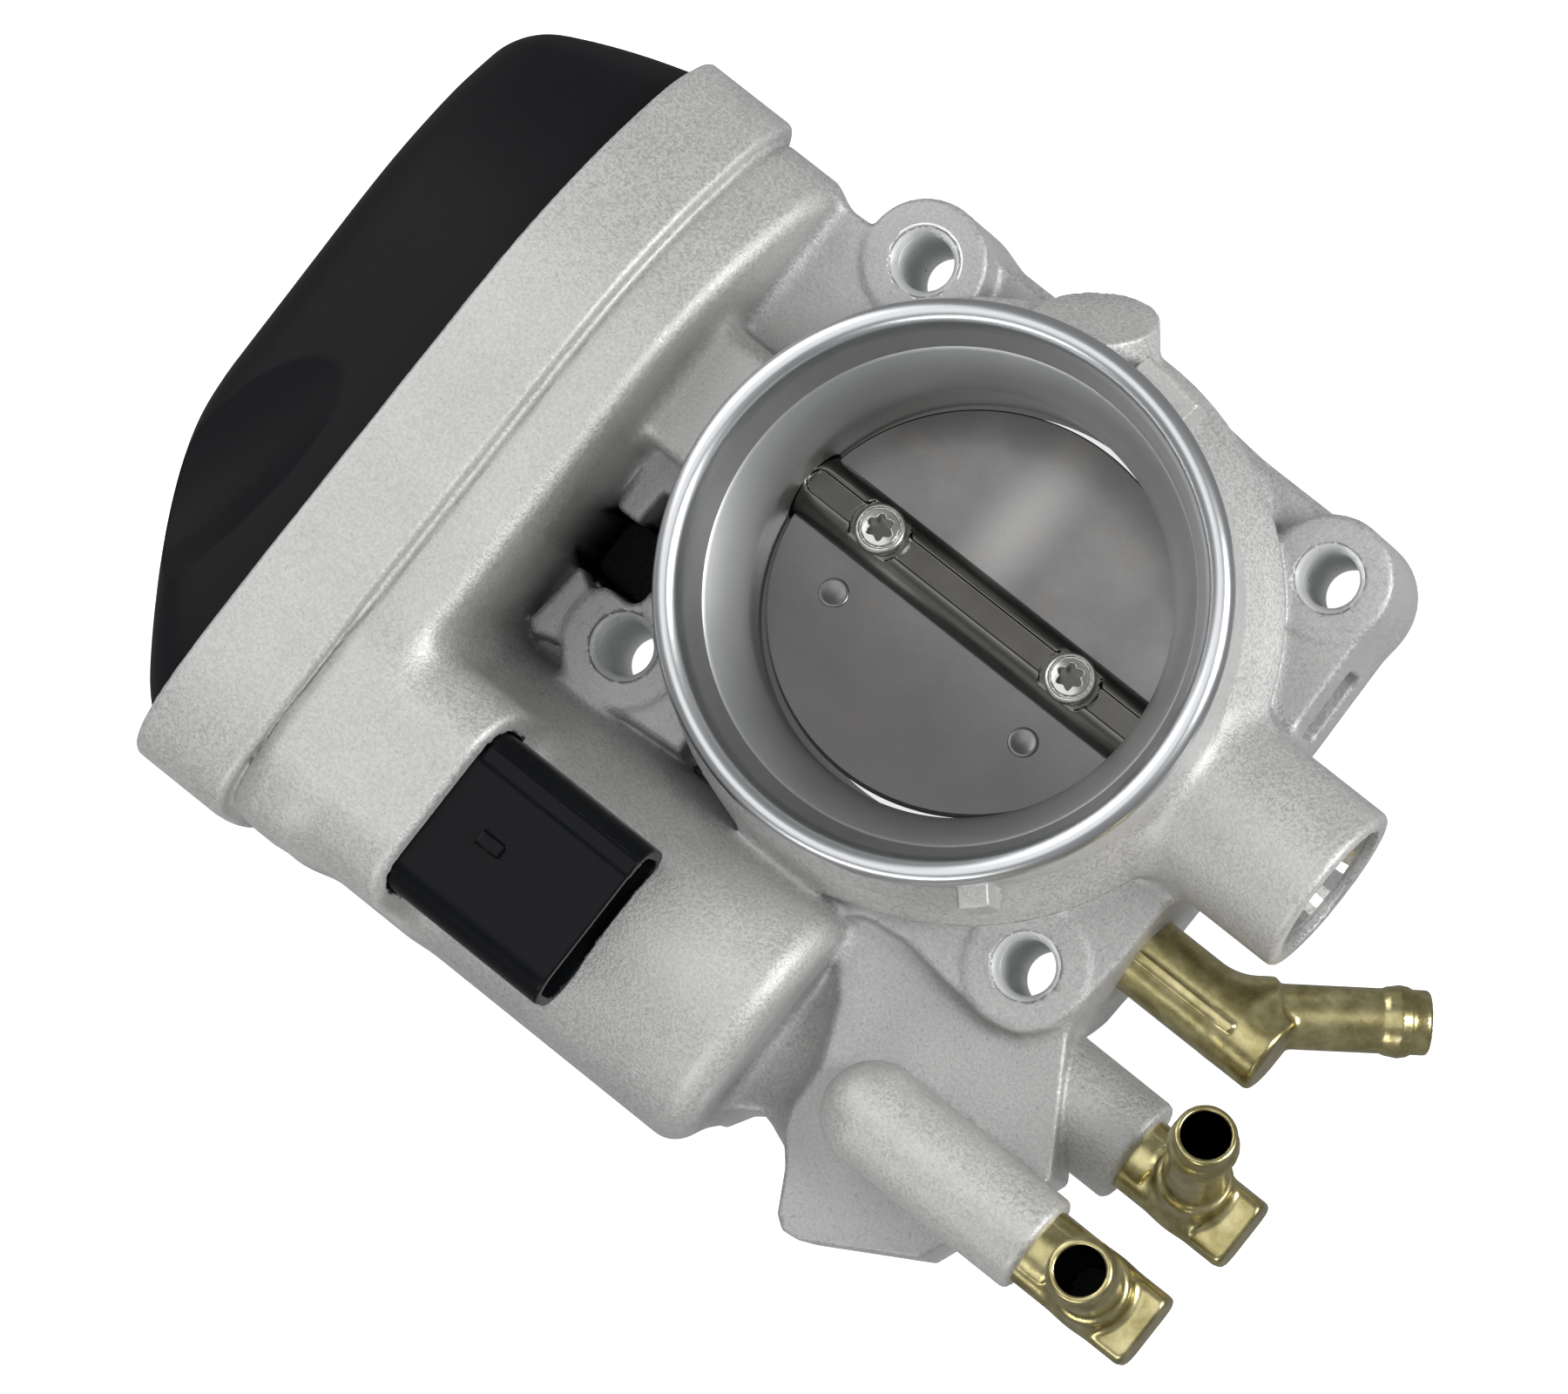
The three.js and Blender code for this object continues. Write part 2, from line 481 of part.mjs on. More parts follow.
function motorPieces() {
  const can = cut(barX(MOTOR.r, -50.5, MOTOR.to, motor, 40), holeX(13.4, -51, 4.6, motor, 40),
    holeX(1.75, 4, 7, motor, 16));
  piece('motor_can', can, brightSteel);
  const wedge = (side) => gearBody([
    [0, 0], [side * 20, 14], [side * 20, -14],
  ], -44, 0, motor);
  ['motor_magnet_1', 'motor_magnet_2'].forEach((name, i) => {
    piece(name, sleeve(9.7, 13.1, -42, -2, motor, 40).intersect(wedge(i ? 1 : -1)), magnetGrey);
  });
  const core = turnedX([
    [-68.9, 0], [-68.9, 1.6], [-48, 1.6], [-48, 4], [-42.5, 4], [-42.5, 5.5], [-40, 5.5], [-38, 9.3],
    [-8, 9.3], [-6, 6], [-3, 6], [-3, 1.6], [5.7, 1.6], [5.7, 0],
  ], motor, 24);
  const slots = Array.from({ length: 6 }, (_, i) => {
    const g = new THREE.BoxGeometry(36, 1.6, 5).translate(-23, 0, 8.5);
    return solid(g.rotateX(i * Math.PI / 3).translate(0, motor.y, motor.z));
  });
  piece('motor_armature', cut(core, ...slots), darkSteel);
  const screws = motorScrews();
  const ears = screws.map((at) => barX(3.5, -55.6, -53.8, at, 16));
  const plate = join(barX(14.3, -55.6, -53.8, motor, 32), barX(13.1, -54, -50, motor, 32),
    ...ears);
  piece('motor_end_plate', cut(plate, holeX(1.68, -57, -48, motor, 20),
    ...screws.map((at) => holeX(1.5, -57, -52, at, 16)),
    turnedX([[-51.5, 0], [-51.5, 12], [-49, 12], [-49, 0]], motor, 32)), brightSteel);
  screws.forEach((at, i) => {
    const body = join(barX(2.4, -57.4, -55.7, at, 16), barX(1.2, -56, -51, at, 12));
    piece(`motor_screw_${i + 1}`, body, brightSteel);
  });
  const pinion = gearBody(toothOutline(GEAR.pinion, toMotor + Math.PI + Math.PI / GEAR.pinion),
    -68.4, -61.6, motor);
  piece('motor_pinion', cut(pinion, holeX(1.7, -70, -60, motor, 20)), brass);
}

// ---------- cover, seal, position sensor ----------
function coverPieces() {
  const outerRings = [
    fitted(-74.7, -81.6, 33.9, 2.9, 52.2), fitted(-76.5, -80.2, 33.2, 3.4, 51.8),
    fitted(-80.3, -76.2, 32.4, 5, 50.4), fitted(-86, -67.5, 30.8, 7.5, 48), fitted(-92, -57.5, 28, 11, 44.5),
    fitted(-96, -50, 25.5, 14, 41), fitted(-99, -38, 18, 19, 36),
  ];
  const innerRings = [
    fitted(-74, -79.4, 31.6, 5.2, 50), fitted(-76.5, -78, 31, 5.6, 49.6),
    fitted(-80.3, -74, 30.2, 7.2, 48.2), fitted(-86, -65, 28.5, 9.8, 45.6), fitted(-92, -54.5, 25.5, 13.5, 42),
    fitted(-96.4, -42, 19, 18, 37),
  ];
  const post = cut(barX(4.6, -97, -78, idler, 24), holeX(2.6, -83, -77, idler, 24));
  piece('gear_cover', cut(loftX(outerRings), loftX(innerRings)).add(post), blackPlastic);
  const seal = cut(prismX(shapeOf(outline(LIP.wall + 0.3)), -74.4, -73.9),
    prismX(shapeOf(outline(2.5)), -75, -73));
  piece('cover_seal', seal, rubber);
  const clip = cut(prismX(shapeOf(outline(CASE.inset - 1.8)), -61.2, -57.2),
    prismX(shapeOf(outline(CASE.inset - GAP)), -62, -57));
  piece('cover_clip', clip.intersect(box(-62, -57, 25, 40, 12, 21)), blackPlastic);
  piece('position_sensor_board', prismX(roundedRect(-25, 15, 13, 39, 5), -81.4, -79.8), boardGreen);
  const wiper = join(sleeve(5.4, 8, -74.4, -73.4, shaft), box(-74.4, -73.4, 6.5, 14, 24.5, 27.5),
    box(-78.4, -73.4, 12.6, 14, 24.8, 27.2));
  piece('sensor_wiper', wiper, brass);
}

// ---------- connector ----------
function socketShape(inset) {
  return roundedRect(SOCKET.y0 + inset, SOCKET.y1 - inset, SOCKET.z0 + inset, SOCKET.z1 - inset, 4.5 - inset / 2);
}

function connector() {
  const pins = [];
  for (const z of [40.6, 45.9]) for (const y of [-68.5, -63.5, -58.5]) pins.push({ y, z });
  const slots = pins.map(({ y, z }) => box(-60, -30, y - 1.25, y + 1.25, z - 0.5, z + 0.5));
  const mid = (SOCKET.y0 + SOCKET.y1) / 2;
  const body = join(
    prismX(socketShape(0), SOCKET.back, SOCKET.mouth),
    box(-33, SOCKET.mouth, mid - 1.2, mid + 1.2, SOCKET.z1 - 1, SOCKET.z1 + 1),
    prismX(shapeOf([[mid + 7, SOCKET.z1 - 1], [mid + 11, SOCKET.z1 - 1], [mid + 11, SOCKET.z1 + 1.4],
      [mid + 7, SOCKET.z1 + 1.4]]), -30, -24),
  );
  piece('connector_socket', cut(body, prismX(socketShape(SOCKET.wall), -34, SOCKET.mouth + 1), ...slots),
    glossPlastic);
  pins.forEach(({ y, z }, i) => {
    piece(`connector_pin_${i + 1}`, box(-56, -19, y - 1.1, y + 1.1, z - 0.35, z + 0.35), brightSteel);
  });
}

// ---------- the whole object ----------
piece('throttle_housing', housing(), castAluminium);
throttleShaft();
throttlePlate();
plateScrews();
shaftBearings();
sectorGear();
idlerGear();
returnSpring();
motorPieces();
coverPieces();
connector();
FITTINGS.forEach(hoseFitting);
piece('flange_seal', turnedZ([[32.6, 0.1], [34.9, 0.1], [34.9, 2.1], [32.6, 2.1], [32.6, 0.1]]), rubber);

export default model;
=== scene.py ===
# Electronic throttle body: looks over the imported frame, in metres. Sizes in the sections are in
# millimetres, in the part's own axes: +Z out of the inlet, +X away from the gears, +Y away from
# the motor, origin on the bore axis at the manifold face.
import math

import bmesh
import bpy
import numpy as np
from mathutils import Matrix, Vector


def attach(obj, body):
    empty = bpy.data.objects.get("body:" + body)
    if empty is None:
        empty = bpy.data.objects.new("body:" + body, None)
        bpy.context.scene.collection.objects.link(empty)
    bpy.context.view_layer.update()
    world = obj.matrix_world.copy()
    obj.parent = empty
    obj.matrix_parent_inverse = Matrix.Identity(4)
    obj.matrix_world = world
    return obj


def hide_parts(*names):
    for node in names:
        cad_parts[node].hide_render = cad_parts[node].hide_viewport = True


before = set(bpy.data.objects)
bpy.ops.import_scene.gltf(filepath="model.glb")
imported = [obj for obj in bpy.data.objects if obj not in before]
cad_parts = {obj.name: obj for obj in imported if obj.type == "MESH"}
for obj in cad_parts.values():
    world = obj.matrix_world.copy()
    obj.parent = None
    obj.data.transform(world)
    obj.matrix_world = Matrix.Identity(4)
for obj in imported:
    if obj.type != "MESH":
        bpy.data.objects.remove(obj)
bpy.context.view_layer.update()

# ---------------------------------------------------------------- camera, floor and light
# The body is seen from high over the shaft boss, turned so that the gear case runs up the left.
# It stands on a lit acrylic table between two side softboxes, with a weak one overhead, a strip
# on the motor side and a pale cove all round.
MM = 0.001
AIM = (-0.0136, -0.0247, 0.026)
CAMERA_AT = (0.28066, 0.02543, 1.49536)
CAMERA_AXES = ((0.76831, 0.61573, -0.17489), (-0.60925, 0.78725, 0.09513), (0.19626, 0.03346, 0.97998))

camera_data = bpy.data.cameras.new("camera")
camera_data.sensor_width = 36
camera_data.lens = 256.7
camera_data.clip_end = 20
camera = bpy.data.objects.new("camera", camera_data)
turn = Matrix(CAMERA_AXES).transposed().to_4x4()
camera.matrix_world = Matrix.Translation(CAMERA_AT) @ turn
bpy.context.scene.collection.objects.link(camera)
bpy.context.scene.camera = camera


class Wire:
    """One output of a material's node, with arithmetic that adds Math nodes."""

    def __init__(self, finish, socket):
        self.finish = finish
        self.socket = socket

    def math(self, operation, first, second=0.0):
        return self.finish.node("ShaderNodeMath", {"operation": operation}, {0: first, 1: second})

    def __add__(self, other):
        return self.math("ADD", self, other)

    __radd__ = __add__

    def __sub__(self, other):
        return self.math("SUBTRACT", self, other)

    def __rsub__(self, other):
        return self.math("SUBTRACT", other, self)

    def __mul__(self, other):
        return self.math("MULTIPLY", self, other)

    __rmul__ = __mul__

    def __truediv__(self, other):
        return self.math("DIVIDE", self, other)

    def __rtruediv__(self, other):
        return self.math("DIVIDE", other, self)


class Finish:
    """A procedural material on one Principled shader."""

    def __init__(self, name, colour, roughness, metallic=0.0, **fixed):
        self.material = bpy.data.materials.new(name)
        self.material.use_nodes = True
        self.tree = self.material.node_tree
        self.shader = self.tree.nodes["Principled BSDF"]
        self.material.diffuse_color = (*colour, 1)
        self.feed("Base Color", (*colour, 1))
        self.feed("Roughness", roughness)
        self.feed("Metallic", metallic)
        for socket, value in fixed.items():
            self.feed(socket.replace("_", " "), value)

    def feed(self, socket, value):
        target = self.shader.inputs[socket]
        if isinstance(value, Wire):
            self.tree.links.new(value.socket, target)
        else:
            target.default_value = value

    def node(self, kind, settings=None, inputs=None, output=0):
        made = self.tree.nodes.new(kind)
        for key, value in (settings or {}).items():
            if key == "stops":
                ramp = made.color_ramp.elements
                while len(ramp) < len(value):
                    ramp.new(0.5)
                for element, (place, shade) in zip(ramp, value):
                    element.position = place
                    element.color = (*shade, 1) if len(shade) == 3 else shade
            else:
                setattr(made, key, value)
        for key, value in (inputs or {}).items():
            if isinstance(value, Wire):
                self.tree.links.new(value.socket, made.inputs[key])
            else:
                made.inputs[key].default_value = value
        return Wire(self, made.outputs[output])

    def place(self):
        """Position on the piece, in metres in the part's axes."""
        return self.node("ShaderNodeTexCoord", output="Object")

    def axis(self, index):
        """One coordinate of the position: 0, 1 or 2 for X, Y or Z."""
        return self.node("ShaderNodeSeparateXYZ", None, {0: self.place()}, output=index)

    def stretched(self, scale):
        """The position with each coordinate multiplied by its own factor."""
        return self.node("ShaderNodeVectorMath", {"operation": "MULTIPLY"}, {0: self.place(), 1: scale})

    def noise(self, size, detail=2.0, roughness=0.5, at=None):
        """Cloudy noise from 0 to 1, whose lumps are about size millimetres across."""
        return self.node("ShaderNodeTexNoise", None, {
            "Vector": at or self.place(), "Scale": 1 / (size * MM), "Detail": detail,
            "Roughness": roughness})

    def stain(self):
        """The painted shade from 0 to 1 that skin() stores on the points of a piece."""
        return self.node("ShaderNodeAttribute", {"attribute_name": "stain"}, output=2)

    def step(self, value, low, high):
        """0 below low, 1 above high, smooth between."""
        return self.node("ShaderNodeMapRange", {"interpolation_type": "SMOOTHSTEP"}, {
            "Value": value, "From Min": low, "From Max": high})

    def blend(self, factor, first, second):
        """One colour over another."""
        return self.node("ShaderNodeMix", {"data_type": "RGBA"}, {
            0: factor, 6: first if isinstance(first, Wire) else (*first, 1),
            7: second if isinstance(second, Wire) else (*second, 1)}, output=2)

    def bump(self, height, depth, strength=1.0):
        """A bump whose height is depth millimetres for a value of 1."""
        self.feed("Normal", self.node("ShaderNodeBump", None, {
            "Height": height, "Distance": depth * MM, "Strength": strength}))


def as_mesh(name, points, faces, normals=None, crease=None):
    """A new object from an array of points in millimetres and an array of faces, all with the
    same number of corners."""
    mesh = bpy.data.meshes.new(name)
    corners = faces.shape[1]
    mesh.vertices.add(len(points))
    mesh.vertices.foreach_set("co", (points * MM).astype(np.float32).ravel())
    mesh.loops.add(faces.size)
    mesh.loops.foreach_set("vertex_index", faces.astype(np.int32).ravel())
    mesh.polygons.add(len(faces))
    mesh.polygons.foreach_set("loop_start", np.arange(0, faces.size, corners, dtype=np.int32))
    mesh.update(calc_edges=True)
    mesh.validate()
    mesh.polygons.foreach_set("use_smooth", np.ones(len(mesh.polygons), bool))
    if crease is not None:
        mesh.set_sharp_from_angle(angle=math.radians(crease))
    if normals is not None:
        mesh.normals_split_custom_set_from_vertices(normals)
    piece = bpy.data.objects.new(name, mesh)
    bpy.context.scene.collection.objects.link(piece)
    return piece


def dress(piece, finish, body, slot, *replaced):
    """Gives a piece its finish and its body, and hides the CAD nodes that it stands for. The record's slot is
    not used.
    """
    piece.data.materials.clear()
    piece.data.materials.append(finish.material)
    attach(piece, body)
    if replaced:
        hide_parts(*replaced)


table_finish = Finish("lit_acrylic_table", (0.93, 0.93, 0.93), 0.6,
                      Emission_Color=(1, 1, 1, 1), Emission_Strength=0.8)
table_top = as_mesh("lit_table", np.array([[-3000, -3000, -0.4], [3000, -3000, -0.4], [3000, 3000, -0.4],
                                           [-3000, 3000, -0.4]], float), np.array([[0, 1, 2, 3]]))
table_top.data.materials.append(table_finish.material)
table_top.visible_glossy = False
COVE_RADIUS, COVE_HEIGHT, COVE_SIDES = 2900, 4000, 48
around = np.linspace(0, 2 * np.pi, COVE_SIDES, endpoint=False)
ring = COVE_RADIUS * np.stack([np.cos(around), np.sin(around)], 1)
levels = [np.column_stack([ring, np.full(COVE_SIDES, height)]) for height in (-1, COVE_HEIGHT)]
this = np.arange(COVE_SIDES)
after = (this + 1) % COVE_SIDES
cove = as_mesh("lit_cove", np.concatenate(levels),
               np.stack([this, COVE_SIDES + this, COVE_SIDES + after, after], 1))
cove.data.materials.append(table_finish.material)
for kind in ("diffuse", "glossy", "transmission", "shadow"):
    setattr(cove, f"visible_{kind}", False)


def softbox(name, place, size, power, tint=(1, 1, 1)):
    """A rectangular area light aimed at the middle of the throttle body."""
    data = bpy.data.lights.new(name, "AREA")
    data.shape = "RECTANGLE"
    data.size, data.size_y = size
    data.energy = power
    data.color = tint
    lamp = bpy.data.objects.new(name, data)
    lamp.location = place
    lamp.rotation_euler = (Vector(AIM) - Vector(place)).to_track_quat("-Z", "Y").to_euler()
    bpy.context.scene.collection.objects.link(lamp)


softbox("overhead_softbox", (-0.1, -0.1, 1.3), (1.1, 1.1), 4.0)
softbox("gear_side_softbox", (-1.05, 0.15, 0.75), (0.9, 1.3), 7.5)
softbox("boss_side_softbox", (0.8, 0.55, 0.6), (0.35, 0.7), 11)
softbox("motor_side_strip", (0.3, -1.0, 0.55), (0.8, 0.3), 3.8)
world = bpy.data.worlds.new("studio")
world.use_nodes = True
world.node_tree.nodes["Background"].inputs["Color"].default_value = (1, 1, 1, 1)
world.node_tree.nodes["Background"].inputs["Strength"].default_value = 0.26
bpy.context.scene.world = world
bpy.context.scene.view_settings.view_transform = "Standard"

# ---------------------------------------------------------------- cast housing
# One aluminium pressure die casting holds the bore, the gear case, the motor barrel and the hose
# bosses. Its edges are melted into each other with fillets, and the skin is bead-blasted.
SHAFT_Z = 26
MOTOR_Y, MOTOR_Z = -61.157, 20.0
BOLTS = [(-35, -32.8), (-35, 32.8), (35, 32.8), (35, -32.8)]


class Outline:
    """A flat closed outline as a table of signed distances, negative inside, read with bilinear
    blending. Distance is to the nearest point of the nearest edge, and the sign comes from how
    many edges a line to the right crosses."""

    def __init__(self, points, step=0.4, margin=9.0):
        a = np.asarray(points, float)
        b = np.roll(a, -1, axis=0)
        self.low = a.min(0) - margin
        self.step = step
        size = np.ceil((a.max(0) + margin - self.low) / step).astype(int) + 2
        u, v = np.meshgrid(*(self.low[i] + step * np.arange(size[i]) for i in (0, 1)), indexing="ij")
        best = np.full(u.shape, 1e9)
        inside = np.zeros(u.shape, bool)
        for (au, av), (bu, bv) in zip(a, b):
            eu, ev = bu - au, bv - av
            t = np.clip(((u - au) * eu + (v - av) * ev) / (eu * eu + ev * ev + 1e-12), 0, 1)
            best = np.minimum(best, np.hypot(u - au - t * eu, v - av - t * ev))
            spans = (av > v) != (bv > v)
            inside ^= spans & (u < au + (v - av) * eu / (ev if ev else 1e-12))
        self.table = np.where(inside, -best, best).astype(np.float32)

    def __call__(self, u, v):
        n, m = self.table.shape
        fu = (u - self.low[0]) / self.step
        fv = (v - self.low[1]) / self.step
        cu, cv = np.clip(fu, 0, n - 1.001), np.clip(fv, 0, m - 1.001)
        i, j = cu.astype(int), cv.astype(int)
        s, t = cu - i, cv - j
        table = self.table
        near = (table[i, j] * (1 - s) + table[i + 1, j] * s) * (1 - t)
        near += (table[i, j + 1] * (1 - s) + table[i + 1, j + 1] * s) * t
        return near + np.hypot(fu - cu, fv - cv) * self.step


def closed_curve(points, count):
    """A smooth closed curve through the points: each stretch is the Catmull-Rom cubic of its two
    ends and their two neighbours, read at even steps."""
    p = np.asarray(points, float)
    t = np.linspace(0, len(p), count, endpoint=False)
    i = t.astype(int)
    f = (t - i)[:, None]
    a, b, c, d = (p[(i + k) % len(p)] for k in (-1, 0, 1, 2))
    return b + 0.5 * f * (c - a + f * (2 * a - 5 * b + 4 * c - d + f * (3 * (b - c) + d - a)))


def melt(a, b, fillet):
    """Union of two distances with a fillet: the lesser one, less a parabola where they are close."""
    near = np.maximum(fillet - np.abs(a - b), 0) / fillet
    return np.minimum(a, b) - near * near * fillet / 4


def carve(a, b, fillet):
    """The first body less the second, with a rounded edge."""
    return -melt(-a, b, fillet)


def raised(flat, height, low, high, edge):
    """A flat outline given a thickness, with its edges rounded: the length of the two outside
    distances, each moved in by the edge radius, less that radius."""
    a = flat + edge
    b = np.maximum(low - height, height - high) + edge
    return np.minimum(np.maximum(a, b), 0) + np.hypot(np.maximum(a, 0), np.maximum(b, 0)) - edge


def rod(u, v, radius, along, low, high, edge=0.5):
    """A round bar: u and v are the offsets from its axis."""
    return raised(np.hypot(u, v) - radius, along, low, high, edge)


def block(u, v, half_u, half_v, corner):
    """A flat rectangle with round corners, about the origin."""
    a, b = np.abs(u) - half_u + corner, np.abs(v) - half_v + corner
    return np.minimum(np.maximum(a, b), 0) + np.hypot(np.maximum(a, 0), np.maximum(b, 0)) - corner


gear_outline = Outline(closed_curve([
    (36.3, 26), (33.6, 33), (28.2, 39), (16, 46.6), (0, 51.6), (-24, 53.2), (-55, 54.4), (-73, 53.4),
    (-82, 48), (-84, 37), (-83.2, 18), (-77, 4.5), (-60, 0.8), (-24, 0.5), (0, 0.4), (16, 5),
    (28.2, 13), (33.6, 19)], 144))
neck_outline = Outline([
    (-20, -6), (40.6, -6), (40.6, 27.5), (42.4, 29.6), (39.9, 33), (37.7, 36.5), (37.5, 48.6), (-20, 48.6)])
bore_outline = Outline([
    (-20, -8), (31.8, -8), (31.8, 3), (29.3, 12), (29.3, 38), (33.6, 48), (34.2, 62), (-20, 62)])
web_outline = Outline([
    (-55, 31), (-49.5, 32.2), (-43.8, 32.4), (-36, 36), (-20, 30), (-20, -12), (-43.6, -13.2), (-43.9, -18.5),
    (-44.6, -20.6), (-46.2, -21.2), (-47.6, -19.6), (-48.2, -12.2), (-55, -11)])
lug_web_1 = Outline([
    (-46.8, -27.6), (-43.8, -29.4), (-41.5, -28.6), (-38, -25.9), (-30, -20), (-20, -30), (-20, -39.5),
    (-31.5, -40.3), (-35.8, -41.2), (-39.2, -40.8), (-42, -37.6), (-46.2, -39), (-47.6, -37.7)])
lug_web_2 = Outline([
    (22, 25), (24.1, 30.5), (26.8, 35), (29.9, 38.9), (34, 40.9), (38.5, 40.2), (41.8, 37), (43.2, 33),
    (43.9, 14.6), (44.2, 0), (30, 0)])
lug_web_3 = Outline([
    (5, -44), (11, -42.2), (14.7, -40.8), (20, -40.2), (27.3, -41.2), (34.5, -41.6), (39.7, -40.4),
    (42.9, -36.8), (44.1, -33), (44.8, -24), (45.1, 0), (30, 0), (5, -30)])
bracket_outline = Outline([
    (2, -38), (9.9, -43.2), (17.3, -51.8), (21.1, -60.5), (21.4, -67.2), (22.6, -70.4), (25.6, -74.2),
    (28.6, -79.6), (30.4, -80.9), (33, -80.6), (47.6, -72.3), (55, -53), (43.4, -34.6), (34, -26)])
saddle_outline = Outline([
    (-4, -36), (10, -43), (18.6, -51), (21.4, -62), (20.8, -69.6), (17.6, -70.3), (14.5, -72.6),
    (12.4, -76.2), (6, -78.4), (-6, -77)])
PAD_OUT = np.array([-0.454, 0.724, 0.515])
PAD_OUT /= np.linalg.norm(PAD_OUT)
PAD_FACE = np.array([-10.2, 40.4, 33.5])
# Each hose boss: its axis (y, z), radius, rounded start and flat face along X.
HOSE_BOSSES = [
    (-60.8, 29.0, 7.3, 24.3, 60.0),
    (-43.5, 15.0, 7.8, 24.0, 60.8),
    (-22.2, 15.0, 7.8, 24.0, 43.4)]


def cast_body(x, y, z):
    """The outer skin of the casting, as a distance in millimetres, before anything is cored out."""
    egg = gear_outline(y, z)
    back = x + 0.07 * (z - 27)
    d = melt(raised(egg, x, -75.5, -60.8, 0.9), raised(egg + 2.3, back, -66, -49.3, 2.6), 0.4)
    d = carve(d, np.hypot(egg + 2.2, x + 60.1) - 0.55, 0.4)
    barrel = (np.hypot((y - MOTOR_Y) / 20.4, (z - MOTOR_Z) / 19.6) - 1) * 19.6
    barrel = raised(barrel, x - 0.06 * (z - 20), -56.5, 12.4, 4.2)
    hood = raised(block(y + 63.5, z - 36.6, 16.6, 16.6, 9.5), x + 0.14 * (z - 45), -57, -35.6, 1.2)
    d = melt(d, melt(barrel, hood, 5.5), 4.5)
    r = np.hypot(x, y)
    base = raised(block(x, y, 42.4, 39.2, 9), z, 0, 20.2, 1.0)
    base = melt(base, raised(block(x, y, 42.9, 40, 9.5), z, 0, 8, 0.8), 0.6)
    neck = neck_outline(r, z)
    tunnel = raised(block(y - 0.9, z - 22, 9.6, 14.4, 2.6), x, -52, -30, 1)
    web = melt(raised(web_outline(x, y), z, 1.5, 26.6, 0.8), tunnel, 1.6)
    web = np.minimum(web, raised(block(x + 44, y + 27, 10, 16, 2), z, 1.5, 5, 0.8))
    web = np.minimum(web, raised(block(x + 44, y + 38, 10, 10, 2), z, 1.5, 20, 0.8))
    web = np.minimum(web, raised(block(x + 21, y + 40, 15, 4, 1), z, 1.5, 14, 0.8))
    for outline in (lug_web_1, lug_web_2, lug_web_3):
        web = np.minimum(web, raised(outline(x, y), z, 1, 26.8, 0.9))
    for bx, by in BOLTS:
        web = melt(web, rod(x - bx, y - by, 8.7, z, 0, 27, 0.9), 1.0)
    d = melt(d, melt(base, web, 1.8), 2.6)
    end_boss = rod(y, z - SHAFT_Z, 12.7, x, 30, 61, 1.0)
    d = melt(melt(d, neck, 2.6), end_boss, 3.2)
    bracket = raised(bracket_outline(x, y), z, 9, 24, 0.7)
    saddle = raised(saddle_outline(x, y), z, 2.5, 19, 1.0)
    bracket = melt(bracket, saddle, 8)
    for number, (by, bz, radius, start, face) in enumerate(HOSE_BOSSES, 1):
        along = np.clip(x, start + radius, face + 20)
        boss = np.sqrt((x - along) ** 2 + (y - by) ** 2 + (z - bz) ** 2) - radius
        bracket = melt(bracket, carve(boss, face - x, 1.2), 3.0 if number == 1 else 0.8)
    d = melt(d, bracket, 2.2)
    rel = [x - PAD_FACE[0], y - PAD_FACE[1], z - PAD_FACE[2]]
    out = sum(rel[i] * PAD_OUT[i] for i in range(3))
    off = np.sqrt(np.maximum(sum(c * c for c in rel) - out * out, 0))
    d = melt(d, raised(off - 8.7 + 0.04 * out, out, -18, 0.7, 0.5), 0.5)
    for degrees, half in ((83, 4.9), (-48, 2.2)):
        c, s = math.cos(math.radians(degrees)), math.sin(math.radians(degrees))
        stop = raised(block(x * c + y * s - 38.4, y * c - x * s, 2.6, half, 0.4), z, 34, 43.5, 0.4)
        d = melt(d, stop, 0.3)
    return d


def cast_housing_field(x, y, z):
    """The casting with its cores: bore, gear case, motor barrel, shaft and bearing seats, bolt
    holes, connector window, seal groove and the dark pocket beside the first bolt."""
    d = cast_body(x, y, z)
    r = np.hypot(x, y)
    d = np.maximum(d, -bore_outline(r, z))
    egg = gear_outline(y, z)
    cavity = np.maximum(egg + 1.9, np.maximum(-76.5 - x, x + 73.6))
    cavity = np.minimum(cavity, np.maximum(egg + 2.6, np.maximum(-75 - x, x + 62)))
    cavity = np.minimum(cavity, np.maximum(egg + 4.7, np.maximum(-62.5 - x, x + 53.5)))
    cavity = np.minimum(cavity, rod(y - MOTOR_Y, z - MOTOR_Z, 14.9, x, -56, 7, 0.1))
    d = np.maximum(d, -cavity)
    across = np.hypot(y, z - SHAFT_Z)
    for radius, low, high in ((5.4, -56, 60), (8, -53.6, -39.4), (8, 44, 58), (10, 57, 63)):
        d = np.maximum(d, -np.maximum(across - radius, np.maximum(low - x, x - high)))
    for bx, by in BOLTS:
        d = np.maximum(d, -(np.maximum(np.hypot(x - bx, y - by) - 4.7, np.abs(z - 14) - 20)))
    socket = block(y + 63.5, z - 43.25, 13, 6.75, 4.6)
    window = np.minimum(np.maximum(socket - 0.3, x + 35), np.maximum(socket + 0.3, x + 10.7))
    d = np.maximum(d, -np.maximum(window, -58 - x))
    groove = np.maximum(np.abs(r - 33.75) - 1.45, z - 2.4)
    d = np.maximum(d, -groove)
    pocket = raised(block(x + 43.4, y + 23.3, 6.6, 4.6, 2.2), z, 4, 40, 0.5)
    d = carve(d, np.maximum(pocket, 40.4 - r), 0.8)
    recess = raised(block(y - 19.2, z - 13.4, 5.4, 5.2, 1.6), x, 39.6, 50, 0.8)
    d = carve(d, recess, 0.8)
    for by, bz, radius, start, face in HOSE_BOSSES:
        d = np.maximum(d, -rod(y - by, z - bz, 4.9, x, face - 10, face + 3, 0.1))
    return np.maximum(d, -z)


